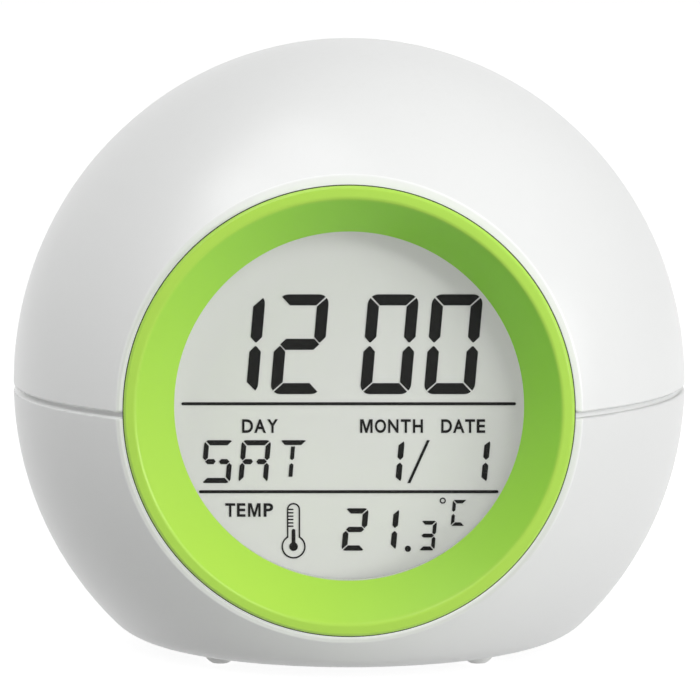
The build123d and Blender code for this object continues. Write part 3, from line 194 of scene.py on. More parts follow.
def moulded_group():
    """Even plastic: slow drift in colour, fine texture from the mould."""
    tree, given = new_group(
        "Moulded surface", "ShaderNodeTree",
        (("Colour", COLOUR, None), ("Drift", FLOAT, 0.03), ("Drift Scale", FLOAT, 45.0),
         ("Roughness", FLOAT, 0.35), ("Texture", FLOAT, 0.06), ("Texture Scale", FLOAT, 2200.0)),
        (("Colour", COLOUR), ("Roughness", FLOAT), ("Height", FLOAT)))
    place = object_place(tree)
    slow = noise(tree, place, given["Drift Scale"], 3.0)
    fine = noise(tree, place, given["Texture Scale"])
    shade = calc(tree, "SUBTRACT", 1.0, calc(tree, "MULTIPLY", slow, given["Drift"]))
    swing = calc(tree, "MULTIPLY", calc(tree, "SUBTRACT", calc(tree, "ADD", slow, fine), 1.0),
                 given["Texture"])
    rough = calc(tree, "ADD", given["Roughness"], swing, clamp=True)
    return finish_group(tree, Colour=scaled(tree, given["Colour"], shade), Roughness=rough,
                        Height=fine)


def marks_group():
    """Handling marks: hair scratches inside a few worn patches."""
    tree, given = new_group(
        "Handling marks", "ShaderNodeTree",
        (("Amount", FLOAT, 0.5), ("Scratch Scale", FLOAT, 260.0), ("Patch Scale", FLOAT, 38.0)),
        (("Mask", FLOAT),))
    place = object_place(tree)
    hairs = []
    for turn in ((0.3, 0.5, 0.2), (-0.6, 0.2, 1.1)):
        drawn = add(tree, "ShaderNodeMapping",
                    {"Vector": place, "Rotation": turn, "Scale": (1.0, 14.0, 1.0)}).outputs[0]
        hairs.append(calc(tree, "COMPARE", noise(tree, drawn, given["Scratch Scale"], 1.0),
                          0.5, 0.006))
    patch = noise(tree, place, given["Patch Scale"])
    worn = calc(tree, "MULTIPLY", calc(tree, "SUBTRACT", patch, 0.5), 4.0, clamp=True)
    mask = calc(tree, "MULTIPLY", calc(tree, "MULTIPLY", calc(tree, "MAXIMUM", *hairs), worn),
                given["Amount"])
    return finish_group(tree, Mask=mask)


def dust_group():
    """Thin dust that settles on faces that look up."""
    tree, given = new_group(
        "Settled dust", "ShaderNodeTree",
        (("Amount", FLOAT, 0.2), ("Scale", FLOAT, 900.0)), (("Mask", FLOAT),))
    up = add(tree, "ShaderNodeSeparateXYZ",
             {0: add(tree, "ShaderNodeNewGeometry").outputs["Normal"]}).outputs["Z"]
    speck = noise(tree, object_place(tree), given["Scale"], 4.0)
    lying = calc(tree, "MULTIPLY", calc(tree, "SUBTRACT", speck, 0.52), 5.0, clamp=True)
    facing = calc(tree, "POWER", calc(tree, "MAXIMUM", up, 0.0), 2.0)
    mask = calc(tree, "MULTIPLY", calc(tree, "MULTIPLY", lying, facing), given["Amount"])
    return finish_group(tree, Mask=mask)


def brushed_group():
    """Drawn or stamped metal: fine lines along X."""
    tree, given = new_group(
        "Drawn metal", "ShaderNodeTree",
        (("Colour", COLOUR, None), ("Roughness", FLOAT, 0.3), ("Lines", FLOAT, 0.12),
         ("Scale", FLOAT, 900.0)),
        (("Colour", COLOUR), ("Roughness", FLOAT), ("Height", FLOAT)))
    drawn = add(tree, "ShaderNodeMapping",
                {"Vector": object_place(tree), "Scale": (0.05, 1.0, 1.0)}).outputs[0]
    lines = noise(tree, drawn, given["Scale"], 3.0)
    swing = calc(tree, "MULTIPLY", calc(tree, "SUBTRACT", lines, 0.5), given["Lines"])
    rough = calc(tree, "ADD", given["Roughness"], swing, clamp=True)
    colour = scaled(tree, given["Colour"], calc(tree, "ADD", 1.0, swing))
    return finish_group(tree, Colour=colour, Roughness=rough, Height=lines)


def tracks_group():
    """Copper tracks under the lacquer of a circuit board."""
    tree, given = new_group(
        "Board tracks", "ShaderNodeTree",
        (("Lacquer", COLOUR, None), ("Track", COLOUR, None), ("Scale", FLOAT, 260.0)),
        (("Colour", COLOUR), ("Height", FLOAT)))
    place = object_place(tree)
    bricks = add(tree, "ShaderNodeTexBrick",
                 {"Vector": place, "Scale": given["Scale"], "Mortar Size": 0.12,
                  "Color1": (0, 0, 0, 1), "Color2": (0, 0, 0, 1), "Mortar": (1, 1, 1, 1)})
    shown = calc(tree, "GREATER_THAN", noise(tree, place, 90.0), 0.5)
    mask = calc(tree, "MULTIPLY", bricks.outputs["Color"], shown)
    colour = mixed(tree, mask, given["Lacquer"], given["Track"])
    return finish_group(tree, Colour=colour, Height=mask)


GROUPS = {}


def group_of(maker):
    """Group that a maker builds, made the first time it is asked for."""
    if maker not in GROUPS:
        GROUPS[maker] = maker()
    return GROUPS[maker]


def place_group(tree, maker, **inputs):
    """Node of a shared group with its inputs set."""
    node = add(tree, "ShaderNodeGroup", node_tree=group_of(maker))
    for key, value in inputs.items():
        socket = node.inputs[key.replace("_", " ")]
        socket.default_value = (*value, 1.0) if isinstance(value, tuple) else value
    return node


# ---- finishes ----

MATERIALS = {}


def blank_material(slot, **sockets):
    """Material of a slot, with a Principled BSDF whose plain sockets are set."""
    material = bpy.data.materials.new(slot.replace("_", " "))
    material.use_nodes = True
    MATERIALS[slot] = material
    tree = material.node_tree
    shader = tree.nodes["Principled BSDF"]
    for key, value in sockets.items():
        shader.inputs[key.replace("_", " ")].default_value = value
    return material, tree, shader


def wire(tree, shader, surface, bump, depth_of_bump, **changed):
    """Feeds a shader from a surface group, some outputs replaced by changed ones."""
    outputs = dict(surface.outputs.items()) | changed
    tree.links.new(outputs["Colour"], shader.inputs["Base Color"])
    if "Roughness" in outputs:
        tree.links.new(outputs["Roughness"], shader.inputs["Roughness"])
    relief = add(tree, "ShaderNodeBump", {"Strength": bump, "Distance": depth_of_bump,
                                          "Height": outputs["Height"]})
    tree.links.new(relief.outputs[0], shader.inputs["Normal"])


def plastic(slot, colour, roughness, drift=0.03, texture=0.05, texture_scale=2200.0,
            bump=0.02, marks=0.0, dust=0.0, **sockets):
    """Moulded plastic or rubber, with marks and dust where it is handled."""
    _, tree, shader = blank_material(slot, **sockets)
    surface = place_group(tree, moulded_group, Colour=colour, Roughness=roughness, Drift=drift,
                          Texture=texture, Texture_Scale=texture_scale)
    tone, rough = surface.outputs["Colour"], surface.outputs["Roughness"]
    if marks:
        worn = place_group(tree, marks_group, Amount=marks).outputs[0]
        rough = calc(tree, "ADD", rough, worn, clamp=True)
    if dust:
        lying = place_group(tree, dust_group, Amount=dust).outputs[0]
        rough = calc(tree, "ADD", rough, lying, clamp=True)
        tone = mixed(tree, lying, tone, (0.62, 0.6, 0.56, 1.0))
    wire(tree, shader, surface, bump, 0.0002, Colour=tone, Roughness=rough)


def metal(slot, colour, roughness, lines=0.12):
    """Bare or plated metal."""
    _, tree, shader = blank_material(slot, Metallic=1.0)
    surface = place_group(tree, brushed_group, Colour=colour, Roughness=roughness, Lines=lines)
    wire(tree, shader, surface, 0.05, 0.0001)


def board(slot, colour, track):
    """Lacquered circuit board."""
    _, tree, shader = blank_material(slot, Roughness=0.35, Coat_Weight=0.4)
    wire(tree, shader, place_group(tree, tracks_group, Lacquer=colour, Track=track), 0.2, 0.0001)


def jacket(slot):
    """Printed sleeve of a cell: a dark body with a copper-coloured band at both ends."""
    _, tree, shader = blank_material(slot, Metallic=0.35)
    surface = place_group(tree, moulded_group, Colour=linear(40, 42, 46), Roughness=0.3)
    band = calc(tree, "GREATER_THAN", calc(tree, "ABSOLUTE", object_parts(tree)["X"]), 0.0135)
    tone = mixed(tree, band, surface.outputs["Colour"], (*linear(188, 122, 74), 1.0))
    tree.links.new(tone, shader.inputs["Base Color"])
    tree.links.new(surface.outputs["Roughness"], shader.inputs["Roughness"])


def paint_edge_light(slot, seam):
    """Paints light into a shell's colour as emission: a painted highlight on the land round the
    ring, strongest at its lower left and faint at its upper right, and below the seam painted light
    on the tongue and on the rim of the base."""
    tree = MATERIALS[slot].node_tree
    part = object_parts(tree)
    x, y, z = (calc(tree, "SUBTRACT", part[axis], middle) for axis, middle in zip("XYZ", CENTRE))
    lean = calc(tree, "ADD", x, z)
    low_left = calc(tree, "MULTIPLY_ADD", lean, -4.0, 0.15, clamp=True)
    high_right = calc(tree, "MULTIPLY", calc(tree, "MULTIPLY", lean, 50.0, clamp=True), 0.1)
    reach = calc(tree, "SUBTRACT", (RING_EDGE_R + 0.55) * MM, distance(tree, x, z))
    near = calc(tree, "DIVIDE", reach, 0.4 * MM, clamp=True)
    land = calc(tree, "LESS_THAN", y, (LAND_Y + 0.1) * MM)
    # Painted highlight on the land round the ring, fading out away from its edge
    glow = calc(tree, "MULTIPLY", land,
                calc(tree, "MAXIMUM", calc(tree, "MULTIPLY", near, low_left), high_right))
    if seam:
        inside = calc(tree, "LESS_THAN", distance(tree, x, y), (BALL_R - 0.5) * MM)
        # Painted light on the tongue in the seam, and on the rim of the base, brighter towards the
        # left
        tongue = calc(tree, "MULTIPLY", calc(tree, "MULTIPLY", inside, 0.15),
                      calc(tree, "GREATER_THAN", z, (SEAM_Z - 0.65) * MM))
        rim = calc(tree, "MULTIPLY", calc(tree, "SUBTRACT", 1.0, inside),
                   calc(tree, "GREATER_THAN", z, (SEAM_Z - 0.78) * MM))
        rim = calc(tree, "MULTIPLY", rim, calc(tree, "MULTIPLY_ADD", x, -2.5, 0.02, clamp=True))
        glow = calc(tree, "MAXIMUM", glow, calc(tree, "ADD", tongue, rim))
    shader = tree.nodes["Principled BSDF"]
    shader.inputs["Emission Color"].default_value = (1.0, 1.0, 1.0, 1.0)
    tree.links.new(glow, shader.inputs["Emission Strength"])


def paint_funnel_shade(slot):
    """Paints shade into the funnel's colour: a deeper, darker green towards its upper right,
    standing in for the shade there and the light that bounces across it.
    """
    tree = MATERIALS[slot].node_tree
    part = object_parts(tree)
    x, z = part["X"], calc(tree, "SUBTRACT", part["Z"], CENTRE.z + RING_Z * MM)
    reach = calc(tree, "SUBTRACT", (RING_EDGE_R - 1.6) * MM, distance(tree, x, z))
    inside = calc(tree, "DIVIDE", reach, 0.4 * MM, clamp=True)
    turned_away = calc(tree, "MULTIPLY_ADD", calc(tree, "ADD", x, z), 14.0, 0.5, clamp=True)
    base = tree.nodes["Principled BSDF"].inputs["Base Color"]
    # Painted shade: the colour is multiplied by a darker green inside the funnel's upper right
    tone = mixed(tree, calc(tree, "MULTIPLY", inside, turned_away), base.links[0].from_socket,
                 (0.66, 0.93, 0.72, 1.0), "MULTIPLY")
    tree.links.new(tone, base)


def make_finishes(scene):
    """One material for each slot of the record."""
    shell, ring = tuple(scene.clock_shell.shell), tuple(scene.clock_ring.ring)
    back, ink = tuple(scene.clock_display.display), tuple(scene.clock_display.ink)
    glossy = {"drift": 0.015, "texture_scale": 9000.0, "bump": 0.004, "marks": 0.12,
              "dust": 0.04, "Coat_Weight": 0.15, "Coat_Roughness": 0.2}
    # White emission colour for the finishes that glow with painted light
    lit = {"Emission_Color": (1.0, 1.0, 1.0, 1.0)}
    plastic("base_white", tuple(0.93 * c for c in shell), 0.32, **glossy)
    plastic("dome_white", shell, 0.3, **glossy)
    plastic("bezel_green", ring, 0.36, drift=0.03, texture_scale=9000.0, bump=0.01, marks=0.1,
            Specular_IOR_Level=0.25, Coat_Weight=0.25, Coat_Roughness=0.12)
    plastic("lens_clear", (0.02, 0.02, 0.02), 0.08, Alpha=0.03)
    plastic("display_glass", (0.86, 0.9, 0.86), 0.1, Alpha=0.03)
    plastic("display_ink", ink, 0.6, drift=0.1, Specular_IOR_Level=0.2)
    # Painted light: the reflector glows a little, which lifts the ring's shadow on the display
    plastic("display_back", back, 0.75, drift=0.02, texture_scale=5200.0, bump=0.05,
            Emission_Strength=0.2, **lit)
    plastic("guide_clear", (0.9, 0.95, 0.97), 0.1, Transmission_Weight=0.8)
    plastic("frame_white", linear(216, 218, 212), 0.45)
    board("board_green", linear(22, 96, 52), linear(64, 138, 72))
    plastic("lamp_white", linear(250, 246, 214), 0.3)
    plastic("strip_grey", linear(150, 150, 152), 0.7)
    plastic("chip_black", linear(26, 26, 28), 0.5, bump=0.1)
    plastic("part_tan", linear(176, 140, 98), 0.45)
    metal("can_steel", linear(200, 202, 204), 0.22)
    metal("screw_steel", linear(176, 178, 180), 0.32)
    metal("spring_steel", linear(190, 190, 188), 0.28, lines=0.06)
    plastic("switch_black", linear(30, 30, 32), 0.42, bump=0.06)
    plastic("plunger_grey", linear(120, 122, 124), 0.45)
    plastic("key_white", linear(236, 237, 235), 0.4, texture=0.08, bump=0.05, marks=0.15)
    # Dark green-grey, tinted so that the band round the ring reads as the shadow gap it paints
    plastic("gasket_black", linear(46, 64, 30), 0.85, bump=0.2)
    plastic("cone_black", linear(22, 22, 24), 0.7, texture_scale=1500.0, bump=0.3)
    plastic("magnet_grey", linear(82, 84, 88), 0.5, bump=0.1)
    jacket("cell_jacket")
    # Painted light: the feet glow a little, which lifts the shade they sit in under the ball
    plastic("foot_grey", linear(220, 221, 218), 0.65, bump=0.12, dust=0.1, Emission_Strength=0.18,
            **lit)
    plastic("lead_red", linear(178, 30, 28), 0.4)
    plastic("lead_grey", linear(158, 160, 162), 0.45)
    # Painted light on the edges of the shells
    paint_edge_light("base_white", seam=True)
    paint_edge_light("dome_white", seam=False)
    # Painted shade in the funnel's upper right
    paint_funnel_shade("bezel_green")


# ---- mesh helpers ----

def mended(mesh, merge=0.0, outwards=True):
    """Joins points closer than a distance and turns faces outwards."""
    shape = bmesh.new()
    shape.from_mesh(mesh)
    if merge:
        bmesh.ops.remove_doubles(shape, verts=shape.verts, dist=merge)
    if outwards:
        bmesh.ops.recalc_face_normals(shape, faces=shape.faces)
    shape.to_mesh(mesh)
    shape.free()
    return mesh


def new_mesh(name, points, faces):
    """Mesh from points in metres, with its faces turned outwards."""
    mesh = bpy.data.meshes.new(name)
    mesh.from_pydata([tuple(p) for p in points], [], faces)
    return mended(mesh, merge=1e-7)


def linked(name, data):
    """New object in the scene."""
    holder = bpy.data.objects.new(name, data)
    bpy.context.scene.collection.objects.link(holder)
    return holder


def baked(holder):
    """Plain mesh of an object as it is evaluated; the object itself goes."""
    mesh = bpy.data.meshes.new_from_object(
        holder.evaluated_get(bpy.context.evaluated_depsgraph_get()))
    bpy.data.objects.remove(holder)
    return mesh


def place_piece(name, mesh, body, slot, *nodes, sharp=30.0, weighted=True):
    """Object for a finished mesh, with its finish, its body and the nodes it stands for."""
    mesh.materials.clear()
    mesh.materials.append(MATERIALS[slot])
    if sharp:
        mesh.shade_smooth()
        mesh.set_sharp_from_angle(angle=radians(sharp))
    piece = linked(name, mesh)
    if weighted:
        piece.modifiers.new("Weighted normals", "WEIGHTED_NORMAL").keep_sharp = True
    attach(piece, body)
    if nodes:
        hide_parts(*nodes)
    return piece


def rounded_line(corners, steps=10):
    """Closed outline whose corners, given as (x, y, radius), are rounded."""
    points = []
    for i, (x, y, radius) in enumerate(corners):
        here = Vector((x, y))
        if not radius:
            points.append(here)
            continue
        before, after = ((Vector(corners[k % len(corners)][:2]) - here).normalized()
                         for k in (i - 1, i + 1))
        half = before.angle(after) / 2
        start, end = (here + way * radius / tan(half) for way in (before, after))
        middle = here + (before + after).normalized() * radius / sin(half)
        sweep = (start - middle).angle_signed(end - middle)
        points += [middle + Matrix.Rotation(-sweep * k / steps, 2) @ (start - middle)
                   for k in range(steps + 1)]
    return points


def lathe(name, radii, place, count, closed=False):
    """Mesh of circles joined in turn; place gives the point of circle i that is (u, v) off it."""
    points, rows = [], []
    for i, radius in enumerate(radii):
        spread = count if radius > 1e-6 else 1
        rows.append([len(points) + k % spread for k in range(count)])
        turns = [2 * pi * k / count for k in range(spread)]
        points += [place(i, radius * cos(turn), radius * sin(turn)) for turn in turns]
    faces = [tuple(rows[-1])] if closed else []
    for a, b in zip(rows, rows[1:]):
        for k in range(count):
            m = (k + 1) % count
            faces.append(tuple(dict.fromkeys((a[k], b[k], b[m], a[m]))))
    return new_mesh(name, points, faces)


def turned(name, profile, centre, axis, count):
    """Closed solid of revolution; profile points are (radius, distance along the axis)."""
    radii, reach = zip(*profile)

    def place(i, u, v):
        return at(*(Vector(centre) + Vector((u, reach[i], v) if axis == "Y" else (u, v, reach[i]))))
    return lathe(name, radii, place, count)


def prism_faces(count, first=0):
    """Faces of a solid between two outlines, the points of one after those of the other."""
    near, far = range(first, first + count), range(first + count, first + 2 * count)
    return [tuple(near), tuple(reversed(far)),
            *((near[i], near[i - 1], far[i - 1], far[i]) for i in range(count))]


def merged_copy(node, name):
    """Copy of a CAD node's mesh with its triangles joined."""
    mesh = frame["nodes"][node].data.copy()
    mesh.name = name
    return mended(mesh, merge=2e-7, outwards=False)


def ellipsoid(across, rise, sign=1.0):
    """Signed distance and normal of points on a ball-like surface round the centre."""
    def surface(points):
        local = points - np.array(CENTRE)
        slope = local / (np.array((across, across, rise)) * MM) ** 2
        steep = np.linalg.norm(slope, axis=1) * 2
        return ((local * slope).sum(1) - 1) / steep, slope * 2 * sign / steep[:, None]
    return surface


def plane(axis, place, sign):
    """Signed distance and normal of points on a flat surface across axis 0, 1 or 2."""
    def surface(points):
        normals = np.zeros_like(points)
        normals[:, axis] = sign
        return points[:, axis] - (CENTRE[axis] + place * MM), normals
    return surface


def pulled(items, label, width, kind=float):
    """Values of an attribute of all items, one row for each."""
    values = np.empty(len(items) * width, dtype=kind)
    items.foreach_get(label, values)
    return values.reshape(-1, width)


def true_normals(mesh, surfaces):
    """Gives corners that lie on a known surface that surface's own normal."""
    mesh.shade_smooth()
    mesh.set_sharp_from_angle(angle=radians(28))
    normals = pulled(mesh.corner_normals, "vector", 3)
    index = pulled(mesh.loops, "vertex_index", 1, np.int32)[:, 0]
    points = pulled(mesh.vertices, "co", 3)[index]
    totals = pulled(mesh.polygons, "loop_total", 1, np.int32)[:, 0]
    facing = np.repeat(pulled(mesh.polygons, "normal", 3), totals, axis=0)
    for surface in surfaces:
        gap, wanted = surface(points)
        on = (np.abs(gap) < 4e-6) & ((wanted * facing).sum(1) > 0.94)
        normals[on] = wanted[on]
    mesh.normals_split_custom_set(normals.tolist())


# Capitals at a height of 1: outline of the M, widths, space, and pairs set closer or wider
M_LINE = ((0, 0), (0, 1), (0.25, 1), (0.45, 0.33), (0.65, 1), (0.9, 1), (0.9, 0), (0.735, 0),
          (0.735, 0.74), (0.52, 0), (0.38, 0), (0.165, 0.74), (0.165, 0))
WIDTHS = {"A": 0.82, "D": 0.77, "E": 0.61, "F": 0.58, "G": 0.8, "H": 0.72, "I": 0.17, "L": 0.56,
          "M": 0.91, "N": 0.74, "O": 0.8, "P": 0.68, "S": 0.62, "T": 0.71, "U": 0.73, "W": 1.15,
          "Y": 0.75}
SPACE = 0.15
KERN = {"AT": -0.11, "AY": -0.06, "DA": -0.07, "EM": 0.03, "MP": 0.05, "NT": 0.02, "TE": -0.03}


def letter_mesh(sign):
    """Solid capital that is 1 high and 1 thick, its left side on Y."""
    if sign == "M":
        points = [(x, y, z) for z in (0.5, -0.5) for x, y in M_LINE]
        return new_mesh(sign, points, prism_faces(len(M_LINE)))
    curve = bpy.data.curves.new(sign, "FONT")
    curve.body = sign
    curve.size = 1.0
    curve.offset = 0.024
    curve.extrude = 0.5
    curve.resolution_u = 6
    mesh = baked(linked(sign, curve))
    bpy.data.curves.remove(curve)
    left, low = (min(v.co[k] for v in mesh.vertices) for k in (0, 1))
    right, high = (max(v.co[k] for v in mesh.vertices) for k in (0, 1))
    for v in mesh.vertices:
        v.co.x = (v.co.x - left) / (right - left) * WIDTHS[sign]
        v.co.y = (v.co.y - low) / (high - low)
    return mesh


def words_mesh(text, height, thick=1.0):
    """Raised capitals as a mesh, centred on the origin and standing on Y, in millimetres."""
    letters, edge = [], 0.0
    for sign, after in zip(text, text[1:] + " "):
        mesh = letter_mesh(sign)
        for v in mesh.vertices:
            v.co.x += edge
        edge += WIDTHS[sign] + SPACE + KERN.get(sign + after, 0.0)
        letters.append(mesh)
    whole = joined_mesh(text, letters)
    half = (edge - SPACE) / 2
    for v in whole.vertices:
        v.co = ((v.co.x - half) * height, v.co.y * height, v.co.z * thick)
    return whole


def joined_mesh(name, meshes):
    """One mesh from several."""
    shape = bmesh.new()
    for mesh in meshes:
        shape.from_mesh(mesh)
        bpy.data.meshes.remove(mesh)
    bmesh.ops.remove_doubles(shape, verts=shape.verts, dist=1e-7)
    whole = bpy.data.meshes.new(name)
    shape.to_mesh(whole)
    shape.free()
    return whole


def on_ball(x, z, raised):
    """Point on the rear of the ball, raised off it."""
    place = Vector((x, sqrt(BALL_R ** 2 - x ** 2 - z ** 2), z))
    return at(*(place + place.normalized() * raised))


def rear_words(text, x, z, height):
    """Raised word on the rear of the ball, read from behind."""
    mesh = words_mesh(text, height)
    for v in mesh.vertices:
        v.co = on_ball(x - v.co.x, z + v.co.y, 0.08 if v.co.z > 0 else -0.1)
    mesh.flip_normals()
    return mesh


# ---- repeated pieces ----

def ridge_tree():
    """Row of round-ended ridges that stand on the XY plane, one after another along X."""
    tree, given = new_group(
        "Ridge row", "GeometryNodeTree",
        (("Count", "NodeSocketInt", 5), ("Pitch", FLOAT, 0.0015), ("Length", FLOAT, 0.01),
         ("Width", FLOAT, 0.0007), ("Height", FLOAT, 0.0004),
         ("Material", "NodeSocketMaterial", None)),
        (("Geometry", "NodeSocketGeometry"),))
    ball = add(tree, "GeometryNodeMeshUVSphere", {"Segments": 24, "Rings": 12, "Radius": 1.0})
    part = add(tree, "ShaderNodeSeparateXYZ",
               {0: add(tree, "GeometryNodeInputPosition").outputs[0]}).outputs
    half = calc(tree, "DIVIDE", given["Width"], 2.0)
    spare = calc(tree, "SUBTRACT", calc(tree, "DIVIDE", given["Length"], 2.0), half)
    across = calc(tree, "MULTIPLY", part["X"], half)
    side = calc(tree, "MULTIPLY", calc(tree, "SIGN", calc(tree, "SNAP", part["Y"], 0.001)), spare)
    along = calc(tree, "ADD", calc(tree, "MULTIPLY", part["Y"], half), side)
    rise = calc(tree, "MULTIPLY", part["Z"], given["Height"])
    moved = add(tree, "ShaderNodeCombineXYZ", {"X": across, "Y": along, "Z": rise}).outputs[0]
    ridge = add(tree, "GeometryNodeSetPosition",
                {"Geometry": ball.outputs["Mesh"], "Position": moved}).outputs[0]
    reach = calc(tree, "MULTIPLY", calc(tree, "SUBTRACT", given["Count"], 1.0), given["Pitch"])
    start = add(tree, "ShaderNodeCombineXYZ", {"X": calc(tree, "DIVIDE", reach, -2.0)}).outputs[0]
    step = add(tree, "ShaderNodeCombineXYZ", {"X": given["Pitch"]}).outputs[0]
    row = add(tree, "GeometryNodeMeshLine", {"Count": given["Count"], "Start Location": start,
                                             "Offset": step})
    copies = add(tree, "GeometryNodeInstanceOnPoints",
                 {"Points": row.outputs[0], "Instance": ridge}).outputs[0]
    real = add(tree, "GeometryNodeRealizeInstances", {"Geometry": copies}).outputs[0]
    dressed = add(tree, "GeometryNodeSetMaterial",
                  {"Geometry": real, "Material": given["Material"]}).outputs[0]
    return finish_group(tree, Geometry=dressed)


def ridges(name, slot, count, pitch, length, width, height):
    """Plain mesh of a row of ridges, its inputs set by their sockets' identifiers."""
    inputs = {"Count": count, "Pitch": pitch * MM, "Length": length * MM, "Width": width * MM,
              "Height": height * MM, "Material": MATERIALS[slot]}
    tree = group_of(ridge_tree)
    holder = linked(name, bpy.data.meshes.new(name))
    modifier = holder.modifiers.new(name, "NODES")
    modifier.node_group = tree
    for item in tree.interface.items_tree:
        if item.in_out == "INPUT":
            modifier[item.identifier] = inputs[item.name]
    mesh = baked(holder)
    mesh.name = name
    return mesh


# ---- settings ----

class ClockShellSettings(bpy.types.PropertyGroup):
    """Colours and words of the two shells."""
    shell: FloatVectorProperty(
        name="Shell Colour", description="Colour of the dome and the base", subtype="COLOR",
        size=3, min=0.0, max=1.0, default=linear(241, 242, 241))
    word_height: FloatProperty(
        name="Word Height", description="Height of the words beside the keys",
        default=1.25 * MM, unit="LENGTH")
    ridge_count: IntProperty(
        name="Door Ridges", description="Grip ridges on the battery door", default=6, min=1)


class ClockRingSettings(bpy.types.PropertyGroup):
    """Shape and colour of the funnel ring."""
    ring: FloatVectorProperty(
        name="Ring Colour", description="Colour of the funnel ring", subtype="COLOR",
        size=3, min=0.0, max=1.0, default=linear(182, 228, 84))
    crest_round: FloatProperty(
        name="Crest Rounding", description="Radius of the foremost edge of the ring",
        default=0.6 * MM, unit="LENGTH")


class ClockDisplaySettings(bpy.types.PropertyGroup):
    """What the display shows, and its two tones."""
    display: FloatVectorProperty(
        name="Display Colour", description="Colour of the reflector behind the display",
        subtype="COLOR", size=3, min=0.0, max=1.0, default=linear(210, 211, 207))
    ink: FloatVectorProperty(
        name="Ink Colour", description="Colour of the lit segments", subtype="COLOR",
        size=3, min=0.0, max=1.0, default=linear(18, 18, 17))
    hour_text: StringProperty(
        name="Time", description="Four characters of the time, blank where unlit",
        default="1200", maxlen=4)
    label_height: FloatProperty(
        name="Label Height", description="Height of the small words on the display",
        default=1.76 * MM, unit="LENGTH")


class ClockStageSettings(bpy.types.PropertyGroup):
    """Camera and light."""
    distance: FloatProperty(
        name="Camera Distance", description="Camera to the middle of the ball",
        default=0.55, unit="LENGTH")
    elevation: FloatProperty(
        name="Camera Elevation", description="Height of the camera as an angle",
        default=radians(6.9), subtype="ANGLE")
    focal: FloatProperty(
        name="Focal Length", description="Focal length on a 36 mm sensor, in millimetres",
        default=210.2)
    power: FloatProperty(
        name="Lamp Power", description="Power that each soft lamp takes a share of",
        default=20.8, unit="POWER")
    sky: FloatProperty(name="Room Light", description="Strength of the even room light",
                       default=0.17)


# ---- shells ----

def place_shell(name, node, body, slot, *surfaces):
    """CAD shell with its finish, shaded as the true surfaces that it follows."""
    mesh = merged_copy(node, name)
    place_piece(name, mesh, body, slot, node, sharp=0, weighted=False)
    true_normals(mesh, surfaces)


def make_shells():
    """Both halves of the ball."""
    inner_r, land = BALL_R - WALL, plane(1, LAND_Y, -1.0)
    place_shell("dome", "dome_shell", "dome", "dome_white", ellipsoid(BALL_R, DOME_RISE),
                ellipsoid(inner_r, DOME_RISE - WALL, -1.0), land)
    place_shell("base", "base_shell", "clock", "base_white", ellipsoid(BALL_R, BALL_R),
                ellipsoid(inner_r, inner_r, -1.0), land, plane(2, BASE_FLAT, -1.0))


def make_door():
    """Battery door with grip ridges and an arrow on its underside."""
    place_shell("battery_door_wall", "battery_door", "battery_door", "base_white",
                ellipsoid(BALL_R, BALL_R), plane(2, BASE_FLAT, -1.0))
    count, grip_y = bpy.context.scene.clock_shell.ridge_count, 19.5
    rows = ridges("door ridges", "base_white", count, pitch=1.5, length=16.0, width=0.8,
                  height=0.45)
    for v in rows.vertices:
        v.co = at(v.co.y / MM, grip_y + v.co.x / MM, BASE_FLAT - v.co.z / MM)
    rows.flip_normals()
    arrow = ((-2.2, 9.5), (2.2, 9.5), (0.0, 13.4))
    solid = new_mesh("arrow", [at(x, y, BASE_FLAT + z) for z in (0.1, -0.35) for x, y in arrow],
                     prism_faces(len(arrow)))
    place_piece("door_ridges", joined_mesh("door ridges", [rows, solid]), "battery_door",
                "base_white", sharp=40)


# ---- ring and lens ----

def stretched(mesh, lowered):
    """Makes a turned part a little taller than it is wide about the ring axis, and lowers it."""
    middle = CENTRE.z + RING_Z * MM
    for v in mesh.vertices:
        v.co.z = middle + (v.co.z - middle) * TALLER - lowered * MM


def make_ring():
    """Funnel ring, the flat lens, and a dark band behind the ring's edge that paints the shadow gap
    round the ring.
    """
    crest_round = bpy.context.scene.clock_ring.crest_round / MM
    lens_y, back_y = (depth("window_lens", end) for end in (0, 1))
    window_y, edge_y = CREST_Y + 5.8, CREST_Y + 0.95
    barrel_r, seat_r, crest_r = 26.6, 24.1, EDGE_R - 1.5
    outline = rounded_line([
        (WINDOW_R, window_y, 0.1), (crest_r, CREST_Y + 0.035, crest_round),
        (EDGE_R - 0.3, CREST_Y + 0.16, 0.25), (EDGE_R, CREST_Y + 0.52, 0.14),
        (EDGE_R, edge_y, 0.1), (barrel_r, edge_y, 0.0), (barrel_r, back_y, 0.1),
        (seat_r, back_y, 0.1), (seat_r, lens_y, 0.0), (WINDOW_R, lens_y, 0.0)])
    middle = (0.0, 0.0, RING_Z)
    ring = turned("bezel ring", [*outline, outline[0]], middle, "Y", 256)
    stretched(ring, 0.05)
    place_piece("bezel_funnel", ring, "clock", "bezel_green", "bezel_ring", sharp=40)

    lens_r, bevel, slack = 23.98, 0.08, 0.005
    front, back = lens_y + slack, back_y - slack
    lens = turned("lens", [(0.0, front), (lens_r - bevel, front), (lens_r, front + bevel),
                           (lens_r, back - bevel), (lens_r - bevel, back), (0.0, back)],
                  middle, "Y", 160)
    place_piece("lens", lens, "clock", "lens_clear", "window_lens", sharp=30)

    # Painted shadow: a dark band in the gap between the ring's edge and the shell
    inner_r, near, far = SHELL_HOLE_R + 0.5, LAND_Y - 0.13, LAND_Y - 0.03
    shadow_band = turned("ring gasket", [(inner_r, near), (RING_EDGE_R, near), (RING_EDGE_R, far),
                                    (inner_r, far), (inner_r, near)], middle, "Y", 192)
    stretched(shadow_band, 0.09)
    place_piece("ring_gasket", shadow_band, "clock", "gasket_black", sharp=30)


